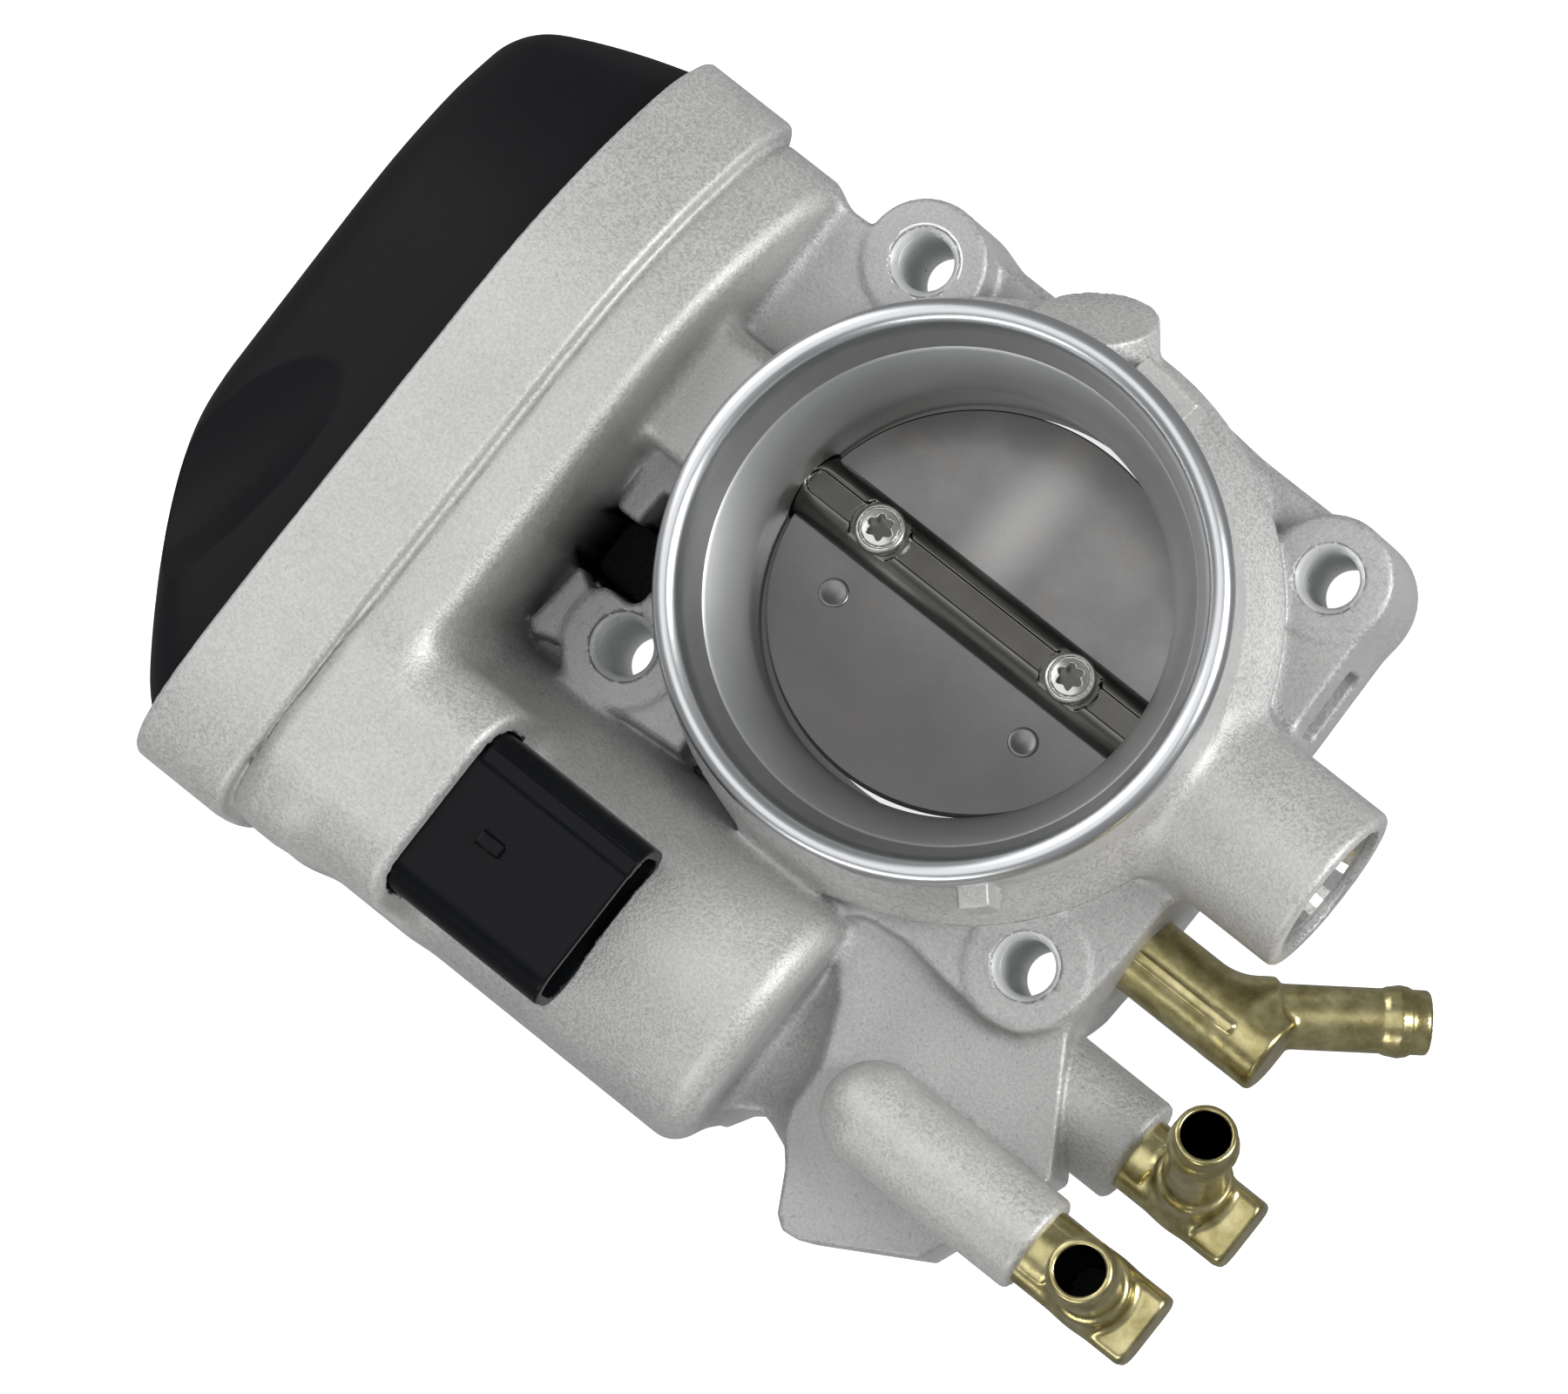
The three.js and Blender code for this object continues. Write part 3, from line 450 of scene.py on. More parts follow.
def skin(name, field, low, high, cell, stain=None, limit=190000, firmness=3):
    """The surface where a distance field is zero, by surface nets. The field is read on a coarse
    grid first, and on the fine grid only near the surface. Each fine cell that the surface passes
    through gets one point, at the mean of its edge crossings, which is then moved on to the
    surface along the gradient. Each grid edge that the surface crosses gets one quad."""
    low, high = np.array(low, float), np.array(high, float)
    coarse = 4
    size = (np.ceil((high - low) / (cell * coarse)).astype(int)) * coarse + 1
    axes = [low[i] + cell * np.arange(size[i]) for i in range(3)]
    rough = field(*np.meshgrid(*(a[::coarse] for a in axes), indexing="ij"))
    f = rough
    for axis in range(3):
        n = f.shape[axis]
        t = np.arange((n - 1) * coarse + 1) / coarse
        i = np.minimum(t.astype(int), n - 2)
        w = (t - i).reshape([-1 if k == axis else 1 for k in range(3)])
        f = np.take(f, i, axis) * (1 - w) + np.take(f, i + 1, axis) * w
    near = np.nonzero(np.abs(f) < cell * coarse * 0.9)
    f[near] = field(*(axes[k][near[k]] for k in range(3)))
    inside = f < 0
    cells = [slice(None, -1), slice(1, None)]
    corner = [(i, j, k) for i in (0, 1) for j in (0, 1) for k in (0, 1)]
    count = sum(inside[cells[i], cells[j], cells[k]].astype(np.int8) for i, j, k in corner)
    active = np.nonzero((count > 0) & (count < 8))
    total = len(active[0])
    index = np.full(count.shape, -1, np.int64)
    index[active] = np.arange(total)
    value = {c: f[active[0] + c[0], active[1] + c[1], active[2] + c[2]] for c in corner}
    place = np.zeros((total, 3))
    crossings = np.zeros(total)
    for a in corner:
        for axis in range(3):
            if a[axis]:
                continue
            b = tuple(1 if k == axis else a[k] for k in range(3))
            cut = (value[a] < 0) != (value[b] < 0)
            t = np.where(cut, value[a] / np.where(cut, value[a] - value[b], 1), 0)
            for k in range(3):
                place[:, k] += np.where(cut, a[k] + (t if k == axis else 0), 0)
            crossings += cut
    points = low + cell * (np.stack(active, 1) + place / crossings[:, None])
    quads = []
    for axis in range(3):
        u, v = (axis + 1) % 3, (axis + 2) % 3
        first = [slice(None)] * 3
        second = [slice(None)] * 3
        first[axis], second[axis] = slice(None, -1), slice(1, None)
        a, b = inside[tuple(first)], inside[tuple(second)]
        at = list(np.nonzero(a != b))
        keep = (at[u] > 0) & (at[v] > 0) & (at[u] < size[u] - 1) & (at[v] < size[v] - 1)
        at = [c[keep] for c in at]
        ring = []
        for du, dv in ((-1, -1), (0, -1), (0, 0), (-1, 0)):
            c = list(at)
            c[u], c[v] = at[u] + du, at[v] + dv
            ring.append(index[tuple(c)])
        ring = np.stack(ring, 1)
        outward = a[tuple(at)]
        quads.append(np.where(outward[:, None], ring, ring[:, ::-1]))
    faces = np.concatenate(quads)

    def slope(p, reach):
        g = np.stack([field(*(p[:, k] + reach * (k == axis) for k in range(3)))
                      - field(*(p[:, k] - reach * (k == axis) for k in range(3))) for axis in range(3)], 1)
        return g / (2 * reach)

    for _ in range(firmness):
        g = slope(points, cell * 0.2)
        push = field(*points.T)[:, None] * g / np.maximum((g * g).sum(1), 0.25)[:, None]
        points = points - np.clip(push, -cell, cell)
    piece = as_mesh(name, points, faces)
    triangles = 2 * len(faces)
    if triangles > limit:
        thin = piece.modifiers.new("thin", "DECIMATE")
        thin.ratio = limit / triangles
        kept = bpy.data.meshes.new_from_object(piece.evaluated_get(bpy.context.evaluated_depsgraph_get()))
        piece.modifiers.clear()
        piece.data = kept
    kept = np.empty(3 * len(piece.data.vertices), np.float32)
    piece.data.vertices.foreach_get("co", kept)
    kept = kept.reshape(-1, 3).astype(float) / MM
    # The optional field is painted shade, stored on each point as an attribute.
    if stain:
        shade = piece.data.attributes.new("stain", "FLOAT", "POINT")
        shade.data.foreach_set("value", np.clip(stain(*kept.T), 0, 1).astype(np.float32))
    g = slope(kept, cell * 0.35)
    g /= np.maximum(np.linalg.norm(g, axis=1), 1e-9)[:, None]
    piece.data.polygons.foreach_set("use_smooth", np.ones(len(piece.data.polygons), bool))
    piece.data.normals_split_custom_set_from_vertices(g)
    return piece


blasted = Finish("bead_blasted_aluminium", (0.55, 0.55, 0.54), 0.52, 0.6)
patches = blasted.noise(11, 3)
grain = blasted.step(blasted.noise(0.5, 2, 0.8), 0.34, 0.66)
specks = blasted.step(blasted.noise(0.55, 1), 0.66, 0.74)
# Painted shade: below about 26 to 34 mm of height the casting is darkened, on the web and lug tops; above it
# the grain is toned down towards a mid grey.
low_painted_shade = blasted.step(blasted.axis(2), 0.034, 0.026)
skin_tone = blasted.blend(patches * 0.45 + grain * 0.55, (0.36, 0.36, 0.362), (0.69, 0.685, 0.67))
skin_tone = blasted.blend((1 - low_painted_shade) * 0.3, skin_tone, (0.56, 0.557, 0.545))
# Painted shade on the low parts and real dark specks everywhere, both towards the same dark grey.
skin_tone = blasted.blend(low_painted_shade * 0.34 + specks * 0.35, skin_tone, (0.25, 0.255, 0.26))
# Painted shade: near black where the stored attribute is set, in the pocket beside the first bolt.
skin_tone = blasted.blend(blasted.stain(), skin_tone, (0.012, 0.012, 0.014))
blasted.feed("Base Color", skin_tone)
blasted.feed("Roughness", 0.44 + 0.2 * grain)
blasted.bump(grain, 0.03)


def pocket_painted_shade(x, y, z):
    """Painted shade: full in the depth of the pocket beside the first bolt, fading towards its mouth."""
    return np.where((abs(x + 43.4) < 7.2) & (abs(y + 23.3) < 5.4), (24 - z) / 4, 0)


housing = skin("cast_housing", cast_housing_field, (-77, -86.5, -1.2), (63.5, 48.5, 57),
               0.62, pocket_painted_shade)
dress(housing, blasted, "housing", "cast_aluminium", "throttle_housing")

# ---------------------------------------------------------------- machined bore, rim and bolt holes
# The bore, the rolled hose bead on the rim and the four bolt holes are cut on the casting after
# it is blasted, and keep the fine rings of the tool.


def turned(name, profile, start, direction, sides, crease=35):
    """A profile of (distance, radius) turned about the line from start along direction: each
    point goes to start + direction * distance + radius * (cos a * u + sin a * v)."""
    p = np.asarray(profile, float)
    axis = np.array(direction, float) / np.linalg.norm(direction)
    u = np.cross(axis, (0, 0, 1) if abs(axis[2]) < 0.9 else (1, 0, 0))
    u /= np.linalg.norm(u)
    v = np.cross(axis, u)
    a = np.linspace(0, 2 * np.pi, sides, endpoint=False)
    ring = np.cos(a)[:, None] * u + np.sin(a)[:, None] * v
    points = np.array(start) + p[:, None, :1] * axis + p[:, None, 1:] * ring[None]
    closed = np.allclose(p[0], p[-1])
    rows = len(p) - 1
    if closed:
        points = points[:-1]
    i, j = np.meshgrid(np.arange(rows), np.arange(sides), indexing="ij")
    k, m = (i + 1) % len(points), (j + 1) % sides
    faces = np.stack([i * sides + j, i * sides + m, k * sides + m, k * sides + j], -1).reshape(-1, 4)
    points = points.reshape(-1, 3)
    return tidy_solid(name, points, faces, crease)


def tidy_solid(name, points, faces, crease):
    """Merges doubled points, drops empty faces and turns the faces outwards."""
    piece = as_mesh(name, points, faces)
    shape = bmesh.new()
    shape.from_mesh(piece.data)
    bmesh.ops.remove_doubles(shape, verts=shape.verts, dist=1e-6)
    bmesh.ops.dissolve_degenerate(shape, edges=shape.edges, dist=1e-7)
    bmesh.ops.recalc_face_normals(shape, faces=shape.faces)
    shape.to_mesh(piece.data)
    shape.free()
    piece.data.polygons.foreach_set("use_smooth", np.ones(len(piece.data.polygons), bool))
    piece.data.set_sharp_from_angle(angle=math.radians(crease))
    return piece


machined = Finish("machined_aluminium", (0.80, 0.81, 0.82), 0.2, 1.0)
across = machined.stretched((1, 1, 0))
reach = machined.node("ShaderNodeVectorMath", {"operation": "LENGTH"}, {0: across}, output=1)
height = machined.axis(2)
turning = machined.node("ShaderNodeCombineXYZ", None, {0: reach, 1: height, 2: 0.0})
lathe_lines = machined.noise(0.25, 2, 0.6, turning)
smear = machined.noise(7, 3)
# Painted shade: the bore is darker deep down, below about 36 to 41 mm of height.
painted_bore_shade = machined.step(height, 0.041, 0.036)
inside_band = machined.step(height, 0.054, 0.052)
bore_tone = machined.blend(inside_band * (0.75 + 0.25 * smear), (0.62, 0.635, 0.65), (0.50, 0.51, 0.505))
machined.feed("Base Color", machined.blend(painted_bore_shade, bore_tone, (0.32, 0.325, 0.32)))
machined.feed("Roughness", 0.27 + 0.13 * inside_band + 0.08 * smear)
machined.bump(lathe_lines, 0.012)
rim_profile = [
    (0.02, 31), (3, 31), (12, 28.5), (38, 28.5), (38.5, 28.75), (47.7, 32.75), (48.1, 33.2),
    (54.4, 35.35), (54.9, 35.55), (55.5, 35.95), (55.86, 36.5), (56.0, 37.1), (55.9, 37.75),
    (55.5, 38.3), (54.9, 38.66), (54.2, 38.8), (53.2, 38.78), (52.3, 38.55), (51.6, 38.2),
    (51.0, 37.86), (50.3, 37.7), (48.5, 37.66), (47.6, 36.6), (37, 30.6), (12, 30.2), (3, 32.25),
    (0.02, 32.25), (0.02, 31)]
bore = turned("machined_inlet", rim_profile, (0, 0, 0), (0, 0, 1), 288, 28)


def pierce(piece, start, end, radius):
    """Cuts a round hole along X through a piece."""
    middle = ((start + end) / 2 * MM, 0, SHAFT_Z * MM)
    bpy.ops.mesh.primitive_cylinder_add(radius=radius * MM, depth=abs(end - start) * MM, location=middle,
                                        rotation=(0, math.pi / 2, 0), vertices=64)
    drill = bpy.context.object
    hole = piece.modifiers.new("hole", "BOOLEAN")
    hole.object = drill
    hole.solver = "EXACT"
    cut = bpy.data.meshes.new_from_object(piece.evaluated_get(bpy.context.evaluated_depsgraph_get()))
    piece.modifiers.clear()
    piece.data = cut
    bpy.data.objects.remove(drill)
    piece.data.set_sharp_from_angle(angle=math.radians(28))


pierce(bore, 25, 36, 5.5)
pierce(bore, -36, -25, 5.5)
dress(bore, machined, "housing", "cast_aluminium")

bored = Finish("bored_bolt_hole", (0.86, 0.87, 0.87), 0.3, 0.7)
bored.feed("Roughness", 0.22 + 0.2 * bored.noise(0.6, 2))
bored.bump(bored.noise(0.3, 2), 0.03)
ridge = np.arange(1.0, 25.4, 0.12)
ridges = [(h, 4.05 + 0.24 * math.sin(2 * math.pi * h / 1.5)) for h in ridge]
sleeve_profile = [(0.03, 4.6), (0.6, 4.05)] + ridges + [
    (25.7, 4.05), (26.2, 4.3), (27.04, 5.05), (27.04, 5.25), (26.4, 5.3), (1, 5.3), (0.03, 5.3), (0.03, 4.6)]
for number, (bx, by) in enumerate(BOLTS, 1):
    sleeve = turned(f"bolt_hole_bore_{number}", sleeve_profile, (bx, by, 0), (0, 0, 1), 72, 40)
    dress(sleeve, bored, "housing", "cast_aluminium")

# ---------------------------------------------------------------- throttle plate
# A steel disc pressed flat and ground on the edge. It stands 12 degrees open at rest and closes
# against the bore with its rim. Two round peening marks show beside the shaft.
PLATE_TILT = math.radians(-12)
SCREW_X = 16.4


def lean(points):
    """Turns points about the shaft axis by the rest angle of the plate."""
    c, s = math.cos(PLATE_TILT), math.sin(PLATE_TILT)
    y, z = points[..., 1], points[..., 2] - SHAFT_Z
    return np.stack([points[..., 0], y * c - z * s, y * s + z * c + SHAFT_Z], -1)


def lean_piece(piece):
    p = np.empty(3 * len(piece.data.vertices), np.float32)
    piece.data.vertices.foreach_get("co", p)
    piece.data.vertices.foreach_set("co", (lean(p.reshape(-1, 3) / MM) * MM).astype(np.float32).ravel())
    piece.data.update()


plate_steel = Finish("pressed_plate_steel", (0.27, 0.265, 0.27), 0.34, 1.0)
stain = plate_steel.noise(13, 4, 0.6)
warm = plate_steel.step(plate_steel.noise(8, 2), 0.56, 0.72)
scuffs = plate_steel.noise(0.5, 3, 0.7)
base = plate_steel.blend(plate_steel.step(stain, 0.3, 0.75), (0.30, 0.295, 0.30), (0.38, 0.375, 0.375))
base = plate_steel.blend(warm * 0.35, base, (0.38, 0.35, 0.28))
# Painted shade: the -Y half of the plate, below the shaft, is darkened.
base = plate_steel.blend(plate_steel.step(plate_steel.axis(1), 0.014, -0.02) * 0.8, base, (0.13, 0.128, 0.13))
# Painted highlight: a soft pale patch on the +Y half of the plate, its edge wobbled by the mottling noise.
middle = plate_steel.node("ShaderNodeVectorMath", {"operation": "DISTANCE"}, {
    0: plate_steel.stretched((1, 0.4, 0)), 1: (-0.003, 0.0052, 0)}, output=1)
painted_highlight = plate_steel.step(middle + 0.003 * stain, 0.0085, 0.0015)
plate_steel.feed("Base Color", plate_steel.blend(painted_highlight * 0.6, base, (0.74, 0.735, 0.72)))
plate_steel.feed("Roughness", 0.26 + 0.06 * stain + 0.05 * scuffs)
plate_steel.bump(scuffs, 0.012)
face = np.array([0, 8, 16, 22, 26, 27.6, 27.95])
disc_profile = [(-0.95, r) for r in face] + [(-0.7, 28.2), (0.7, 28.2)] + [(0.95, r) for r in face[::-1]]
plate = turned("throttle_plate_disc", disc_profile, (0, 0, SHAFT_Z), (0, 0, 1), 240, 25)
lean_piece(plate)
dress(plate, plate_steel, "throttle", "dark_steel", "throttle_plate")
mark_profile = [(0.5, 0), (0.97, 0), (0.99, 1.2), (1.1, 1.5), (1.16, 1.75), (1.08, 2.0), (0.9, 2.15),
                (0.5, 2.15), (0.5, 0)]
for number, side in ((1, -1), (2, 1)):
    mark = turned(f"peening_mark_{number}", mark_profile, (side * SCREW_X, -10, SHAFT_Z), (0, 0, 1), 48, 50)
    lean_piece(mark)
    dress(mark, plate_steel, "throttle", "dark_steel")

# ---------------------------------------------------------------- throttle shaft
# Ground steel bar, slotted for the plate, with a shallow channel milled along the top between
# the two flats that the screw heads sit on.
shaft_steel = Finish("ground_shaft_steel", (0.17, 0.165, 0.155), 0.28, 1.0)
rings = shaft_steel.noise(0.3, 2, 0.6, shaft_steel.stretched((1, 0.04, 0.04)))
shaft_steel.feed("Base Color", shaft_steel.blend(
    shaft_steel.noise(6, 3), (0.13, 0.127, 0.12), (0.21, 0.206, 0.195)))
shaft_steel.feed("Roughness", 0.22 + 0.05 * rings)
shaft_steel.bump(rings, 0.002)


def shaft_field(x, y, z):
    """The bar along X with its channel, screw seats and plate slot, turned to the rest angle."""
    c, s = math.cos(-PLATE_TILT), math.sin(-PLATE_TILT)
    v, w = y * c - (z - SHAFT_Z) * s, y * s + (z - SHAFT_Z) * c
    d = rod(v, w, 5, x, -74.6, 56, 0.5)
    d = carve(d, np.maximum(block(x, v, 28.6, 1.75, 1.6), 4.05 - w), 0.3)
    seat = np.minimum(np.hypot(x - SCREW_X, v), np.hypot(x + SCREW_X, v)) - 4.2
    d = carve(d, np.maximum(seat, 3.95 - w), 0.2)
    return np.maximum(d, -np.maximum(np.abs(x) - 29, np.abs(w) - 1.05))


shaft = skin("throttle_shaft_bar", shaft_field, (-76, -6, 20), (57.5, 6, 32), 0.36)
dress(shaft, shaft_steel, "throttle", "dark_steel", "throttle_shaft")

# ---------------------------------------------------------------- plate screws
# Two bright plated screws with star sockets, their heads domed and staked so that they cannot
# come loose into the engine.
plated = Finish("bright_zinc_plate", (0.58, 0.59, 0.56), 0.25, 1.0)
plated.feed("Roughness", 0.2 + 0.08 * plated.noise(0.8, 3))
plated.bump(plated.noise(0.5, 2), 0.004)
for number, side in ((1, -1), (2, 1)):
    def screw_field(x, y, z, at=side * SCREW_X):
        """A domed head on a shank, with a six-lobed socket sunk into it."""
        c, s = math.cos(-PLATE_TILT), math.sin(-PLATE_TILT)
        v, w = y * c - (z - SHAFT_Z) * s, y * s + (z - SHAFT_Z) * c
        u = x - at
        r = np.hypot(u, v)
        head = raised(r - 3.5, w, 3.9, 6.1 - 0.05 * r * r, 0.35)
        d = np.minimum(head, rod(u, v, 2, w, -4.6, 4.6, 0.3))
        star = r - 1.62 - 0.26 * np.cos(6 * np.arctan2(v, u))
        ring = np.abs(r - 2.75) - 0.16
        d = carve(d, np.maximum(star * 0.8, 3.0 - w), 0.12)
        return carve(d, np.maximum(ring, 5.35 - w), 0.1)

    middle = side * SCREW_X
    screw = skin(f"star_screw_{number}", screw_field, (middle - 4.2, -4.8, 20), (middle + 4.2, 4.8, 33), 0.16)
    dress(screw, plated, "throttle", "bright_steel", f"plate_screw_{number}")

# ---------------------------------------------------------------- gear cover
# Black moulded nylon dome clipped into the lip of the gear case. It is blunt over the throttle
# shaft, falls away over the motor, and has a shallow scoop on its upper flank.
cover_nylon = Finish("matte_black_nylon", (0.010, 0.0105, 0.0125), 0.5, IOR=1.5, Specular_IOR_Level=0.12)
pores = cover_nylon.noise(0.28, 2, 0.6)
flow = cover_nylon.noise(18, 3)
cover_nylon.feed("Base Color", cover_nylon.blend(flow, (0.004, 0.0042, 0.0052), (0.008, 0.0083, 0.010)))
cover_nylon.feed("Roughness", 0.40 + 0.12 * flow + 0.08 * pores)
cover_nylon.bump(pores, 0.02)


def cover_dome(x, y, z, inset=0.0):
    """The dome as the rounded meeting of drafted walls, a nearly flat end and two slopes over the
    motor, less a scoop whose floor rises with the squares of the distances along and across it."""
    egg = gear_outline(y, z) + inset
    out = -x - 75
    walls = (egg + 2.3 + 0.27 * out + 0.005 * out * out) * 0.93
    end = (out - 25.5 - 0.02 * (y - 10) + 0.03 * abs(z - 30) + inset) * 0.98
    slope = 0.80 * out - 0.60 * (y + 58.5) - 15.1 + inset + 0.004 * (z - 27) ** 2
    crest = 0.897 * out - 0.441 * y - 43 + inset + 0.003 * (z - 27) ** 2
    d = walls
    for side, fillet in ((end, 7), (slope, 6), (crest, 6)):
        d = -melt(-d, -side, fillet)
    rel = (x + 87, y + 37, z - 47)
    rise = -0.405 * rel[0] - 0.107 * rel[1] + 0.908 * rel[2]
    long = -0.17 * rel[0] - 0.95 * rel[1] - 0.26 * rel[2]
    wide = -0.89 * rel[0] + 0.26 * rel[1] - 0.37 * rel[2]
    scoop = -1.8 + long * long / 250 + wide * wide / 28 - rise - inset
    return carve(d, scoop, 0.25)


def cover_field(x, y, z):
    """The dome hollowed to a 2.2 mm wall, with a post for the gear pin."""
    d = cover_dome(x, y, z)
    d = np.maximum(d, -(cover_dome(x, y, z) + 2.2))
    d = np.maximum(d, x + 74.7)
    post = np.maximum(rod(y + 31.984, z - 27, 4.6, x, -98, -78, 0.2), 2.6 - np.hypot(y + 31.984, z - 27))
    return np.minimum(d, np.maximum(post, cover_dome(x, y, z) + 1))


cover = skin("gear_case_cover", cover_field, (-102.5, -86, -1), (-73.5, 38, 56), 0.6)
dress(cover, cover_nylon, "housing", "black_plastic", "gear_cover")

# ---------------------------------------------------------------- connector
# Six-way harness socket in one moulding with the cover's lead frame: a flat-sided D with a guide
# ridge, a latch wedge on top and a hollow mouth around the blades.
gloss_nylon = Finish("semi_gloss_black_nylon", (0.004, 0.0045, 0.0055), 0.3,
                     IOR=1.5, Specular_IOR_Level=0.12)
ripple = gloss_nylon.noise(5, 2)
gloss_nylon.feed("Roughness", 0.2 + 0.16 * ripple)
gloss_nylon.bump(ripple * 0.8 + gloss_nylon.noise(0.4, 2) * 0.2, 0.05)


def connector_field(x, y, z):
    """A rounded bar with a hollow end, a ridge along one shoulder and a wedge on top."""
    v, w = y + 63.5, z - 43.25
    flat = block(v, w, 13, 6.75, 4.6)
    d = raised(flat, x, -52, -10.5, 0.35)
    d = melt(d, raised(block(v - 9.4, w - 5.0, 1.3, 1.9, 0.5), x, -36, -10.5, 0.3), 0.5)
    wedge = raised(block(x + 27.6, v - 0.2, 1.9, 1.0, 0.2), z + 0.12 * (x + 27.6), 48, 51.1, 0.2)
    d = np.minimum(d, wedge)
    d = np.maximum(d, -np.maximum(flat + 1.5, np.maximum(-34 - x, x + 9)))
    for pz in (40.6, 45.9):
        for py in (-68.5, -63.5, -58.5):
            slot = np.maximum(np.maximum(np.abs(y - py) - 1.3, np.abs(z - pz) - 0.55), x + 30)
            d = np.maximum(d, -slot)
    return d


connector = skin("harness_socket", connector_field, (-53.5, -78, 35), (-9, -49, 52.6), 0.42)
dress(connector, gloss_nylon, "housing", "gloss_plastic", "connector_socket")

# ---------------------------------------------------------------- brass hose fittings
# Three brass elbows pressed into the housing. Each is a bar with a brazed hose tube that has a
# collar at its root and a rounded barb at its tip, all dulled by a yellow passivation.
brass = Finish("dull_yellow_brass", (0.45, 0.38, 0.19), 0.34, 1.0)
tarnish = brass.noise(3.5, 4, 0.65)
spots = brass.noise(0.7, 2)
yellow = brass.blend(brass.step(tarnish, 0.25, 0.8), (0.34, 0.295, 0.125), (0.68, 0.61, 0.34))
# Painted shade: near black on the wall of each tube's bore, where the stored attribute is set.
brass.feed("Base Color", brass.blend(brass.stain(), yellow, (0.006, 0.007, 0.006)))
brass.feed("Roughness", 0.24 + 0.1 * tarnish)
brass.bump(tarnish * 0.7 + spots * 0.3, 0.05)
FITTINGS = [
    (1, -60.8, 29.0, 5.7, 60.0, 78.8, 69.6, 4.45, (0, 0.1, 0.995), 23.0),
    (2, -43.5, 15.0, 5.4, 60.8, 79.1, 69.6, 4.35, (0, 0.35, 0.937), 24.5),
    (3, -22.2, 15.0, 5.75, 43.4, 67.0, 57.4, 4.4, (0.773, 0.569, -0.283), 28.6),
]
for number, fy, fz, radius, face_x, end_x, bend_x, tube, direction, length in FITTINGS:
    direction = np.array(direction) / np.linalg.norm(direction)

    def fitting_field(x, y, z):
        """A bar along X melted into a tube along its own direction, bored through."""
        v, w = y - fy, z - fz
        if number < 3:
            bar = raised(block(v, w, radius, 4.3, 2.6), x, face_x - 6, end_x - 0.2, 0.9)
            bar = np.minimum(bar, rod(v, w, radius - 0.1, x, face_x - 6, bend_x - 5.4, 0.6))
            notch = raised(block(v, w - 5.2, radius + 2, 1.35, 0.3), x, end_x - 5.6, end_x + 2, 0.4)
            bar = carve(bar, notch, 0.5)
        else:
            bar = rod(v, w, radius, x, face_x - 6, end_x, 0.9)
            seam = raised(block(v + 0.3, w - radius, 0.5, 0.35, 0.2), x, face_x, end_x - 6, 0.2)
            bar = melt(bar, seam, 0.7)
            bar = carve(bar, raised(block(v, w + 7.4, 8, 2.4, 0.3), x,
                                    end_x - 4.5, end_x + 2, 0.4), 0.5)
        rel = (x - bend_x, v, w)
        s = sum(rel[i] * direction[i] for i in range(3))
        off = np.sqrt(np.maximum(sum(c * c for c in rel) - s * s, 0))
        pipe = raised(off - tube, s, -1, length, 0.7)
        swell = 0.55 - 0.2 * np.abs(s - length + 4.2)
        barb = raised(off - tube - swell, s, length - 6.2, length - 2.8, 0.3)
        collar = raised(off - tube - 0.9, s, -1, radius + 2.2, 0.7)
        d = melt(melt(bar, collar, 1.6), melt(pipe, barb, 0.6), 0.8)
        hole = np.maximum(off - 3.35, -s)
        return carve(d, hole, 0.5)

    def tube_bore_painted_shade(x, y, z):
        """Painted shade: full on the wall of the tube's bore, below its mouth."""
        rel = np.stack([x - bend_x, y - fy, z - fz], -1)
        s = rel @ direction
        off = np.sqrt(np.maximum((rel * rel).sum(-1) - s * s, 0))
        return np.where(s > -1, (3.62 - off) / 0.2, 0) * np.clip((length - 0.3 - s) / 0.6, 0, 1)

    tip = np.array([bend_x, fy, fz]) + direction * length
    ends = np.array([[face_x - 7, fy - 8, fz - 8], [end_x + 1.5, fy + 8, fz + 8], tip - 6, tip + 6])
    fitting = skin(f"brass_fitting_{number}", fitting_field, ends.min(0), ends.max(0), 0.42, tube_bore_painted_shade)
    dress(fitting, brass, "housing", "brass", f"hose_fitting_{number}")

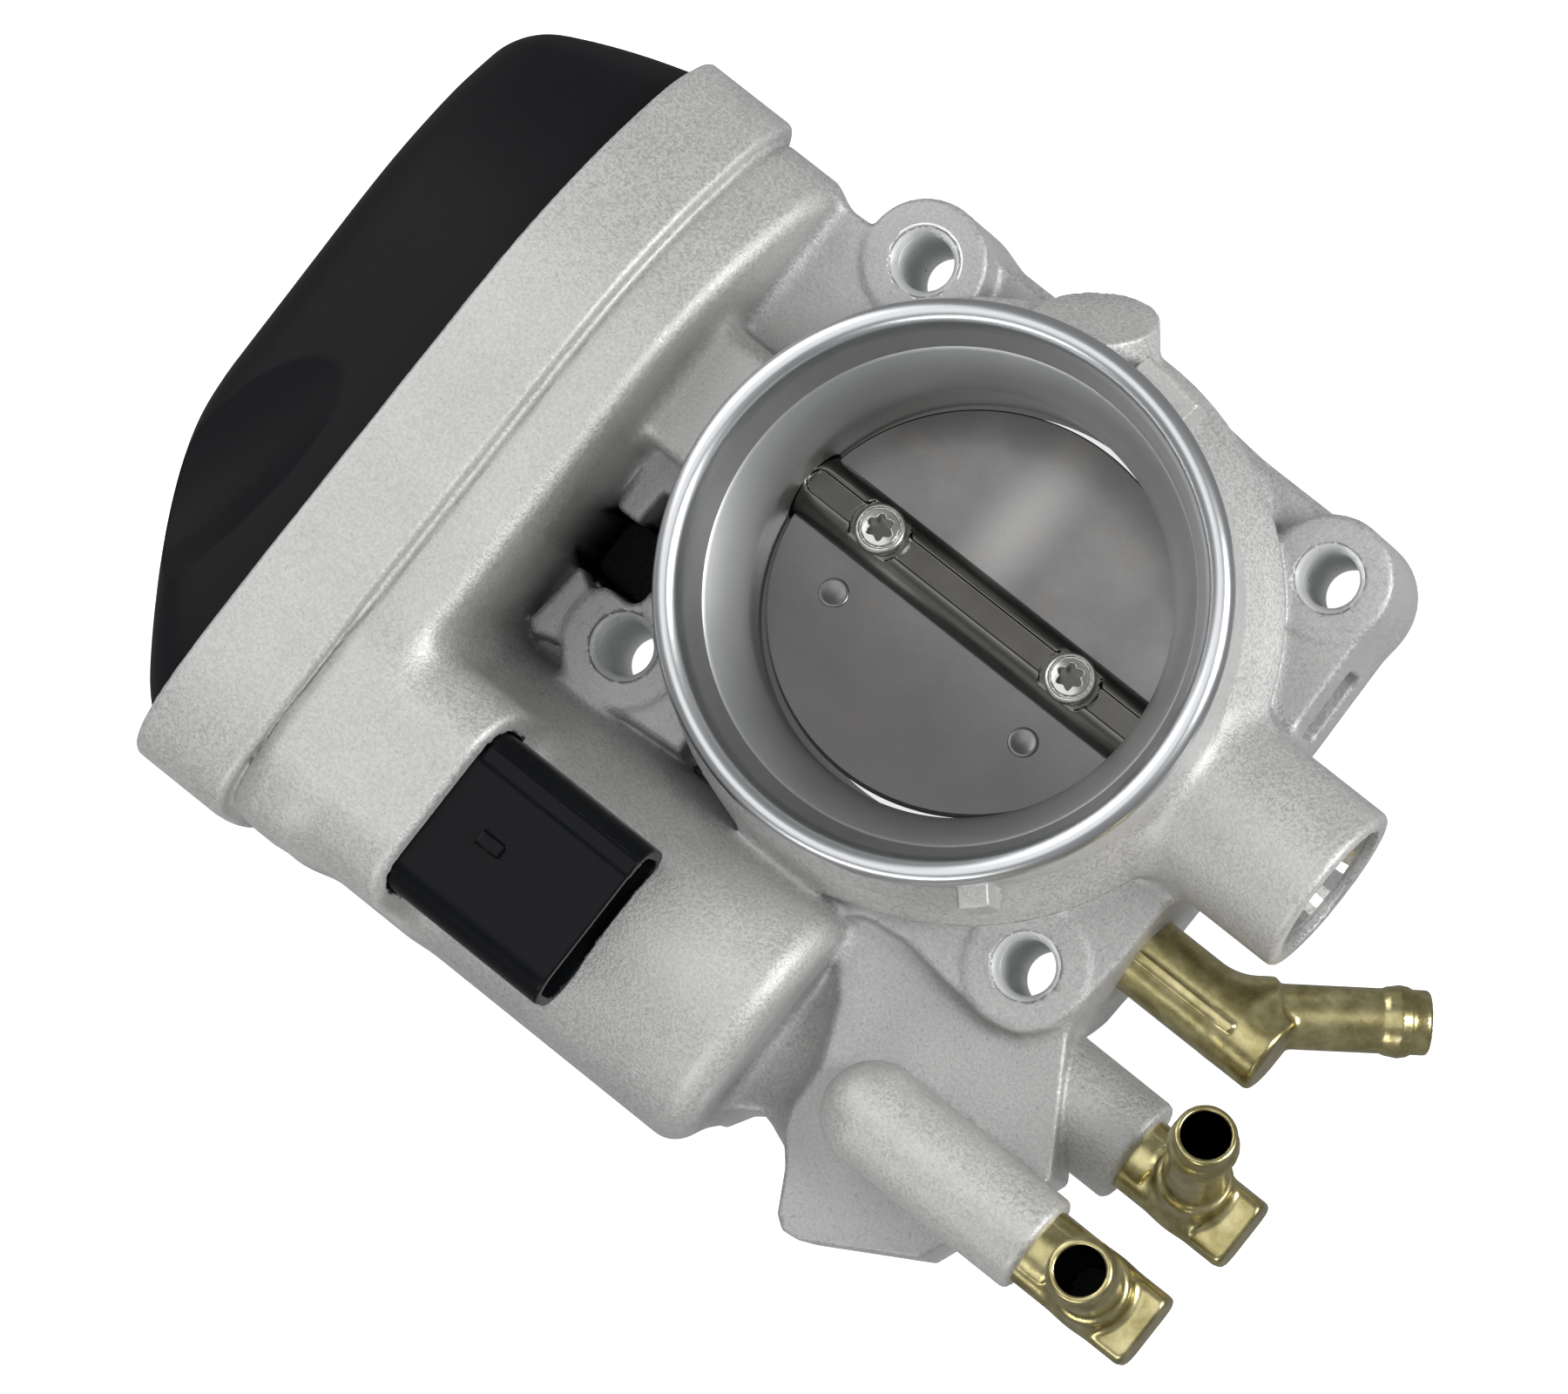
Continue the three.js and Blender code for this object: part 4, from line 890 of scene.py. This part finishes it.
# ---------------------------------------------------------------- pieces kept from the frame
# Bearings, seals, springs, gears, motor and sensor keep their own shapes, each in a finish that
# suits what it is made of.
rubber = Finish("seal_rubber", (0.012, 0.012, 0.013), 0.62)
rubber.feed("Roughness", 0.5 + 0.25 * rubber.noise(2, 3))
rubber.bump(rubber.noise(0.5, 2), 0.04)
gear_nylon = Finish("natural_gear_nylon", (0.72, 0.70, 0.62), 0.5, Subsurface_Weight=0.05)
gear_nylon.feed("Base Color", gear_nylon.blend(
    gear_nylon.noise(8, 3), (0.66, 0.64, 0.55), (0.78, 0.76, 0.68)))
gear_nylon.feed("Roughness", 0.38 + 0.2 * gear_nylon.noise(1.5, 2))
gear_nylon.bump(gear_nylon.noise(0.6, 2), 0.03)
ferrite = Finish("sintered_ferrite", (0.05, 0.05, 0.055), 0.7, 0.2)
ferrite.feed("Roughness", 0.55 + 0.3 * ferrite.noise(1, 3))
ferrite.bump(ferrite.noise(0.4, 3), 0.08)
laminations = Finish("stacked_core_steel", (0.15, 0.145, 0.14), 0.45, 1.0)
sheets = laminations.node("ShaderNodeTexWave", {"bands_direction": "X"}, {
    "Vector": laminations.place(), "Scale": 320.0})
laminations.feed("Roughness", 0.35 + 0.2 * laminations.noise(1, 2))
laminations.bump(sheets, 0.05)
board = Finish("sensor_board", (0.03, 0.11, 0.05), 0.4)
tracks = board.step(board.noise(2.2, 0), 0.5, 0.54)
board.feed("Base Color", board.blend(tracks, (0.02, 0.085, 0.04), (0.045, 0.15, 0.07)))
board.bump(tracks, 0.035)
tinned = Finish("drawn_bright_steel", (0.62, 0.62, 0.61), 0.28, 1.0)
tinned.feed("Roughness", 0.2 + 0.18 * tinned.noise(1.2, 3))
tinned.bump(tinned.noise(0.5, 2), 0.015)
KEPT = {
    rubber: ["shaft_seal", "cover_seal", "flange_seal"],
    gear_nylon: ["sector_gear", "idler_gear", "spring_bush"],
    ferrite: ["motor_magnet_1", "motor_magnet_2"],
    laminations: ["motor_armature"],
    board: ["position_sensor_board"],
    brass: ["motor_pinion", "sensor_wiper"],
    cover_nylon: ["cover_clip"],
    tinned: ["drive_side_bearing", "idle_side_bearing", "shaft_end_plug", "idler_pin", "return_spring",
             "motor_can", "motor_end_plate", "motor_screw_1", "motor_screw_2"]
            + [f"connector_pin_{i}" for i in range(1, 7)],
}
for finish, names in KEPT.items():
    for node in names:
        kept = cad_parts[node]
        kept.data.materials.clear()
        kept.data.materials.append(finish.material)
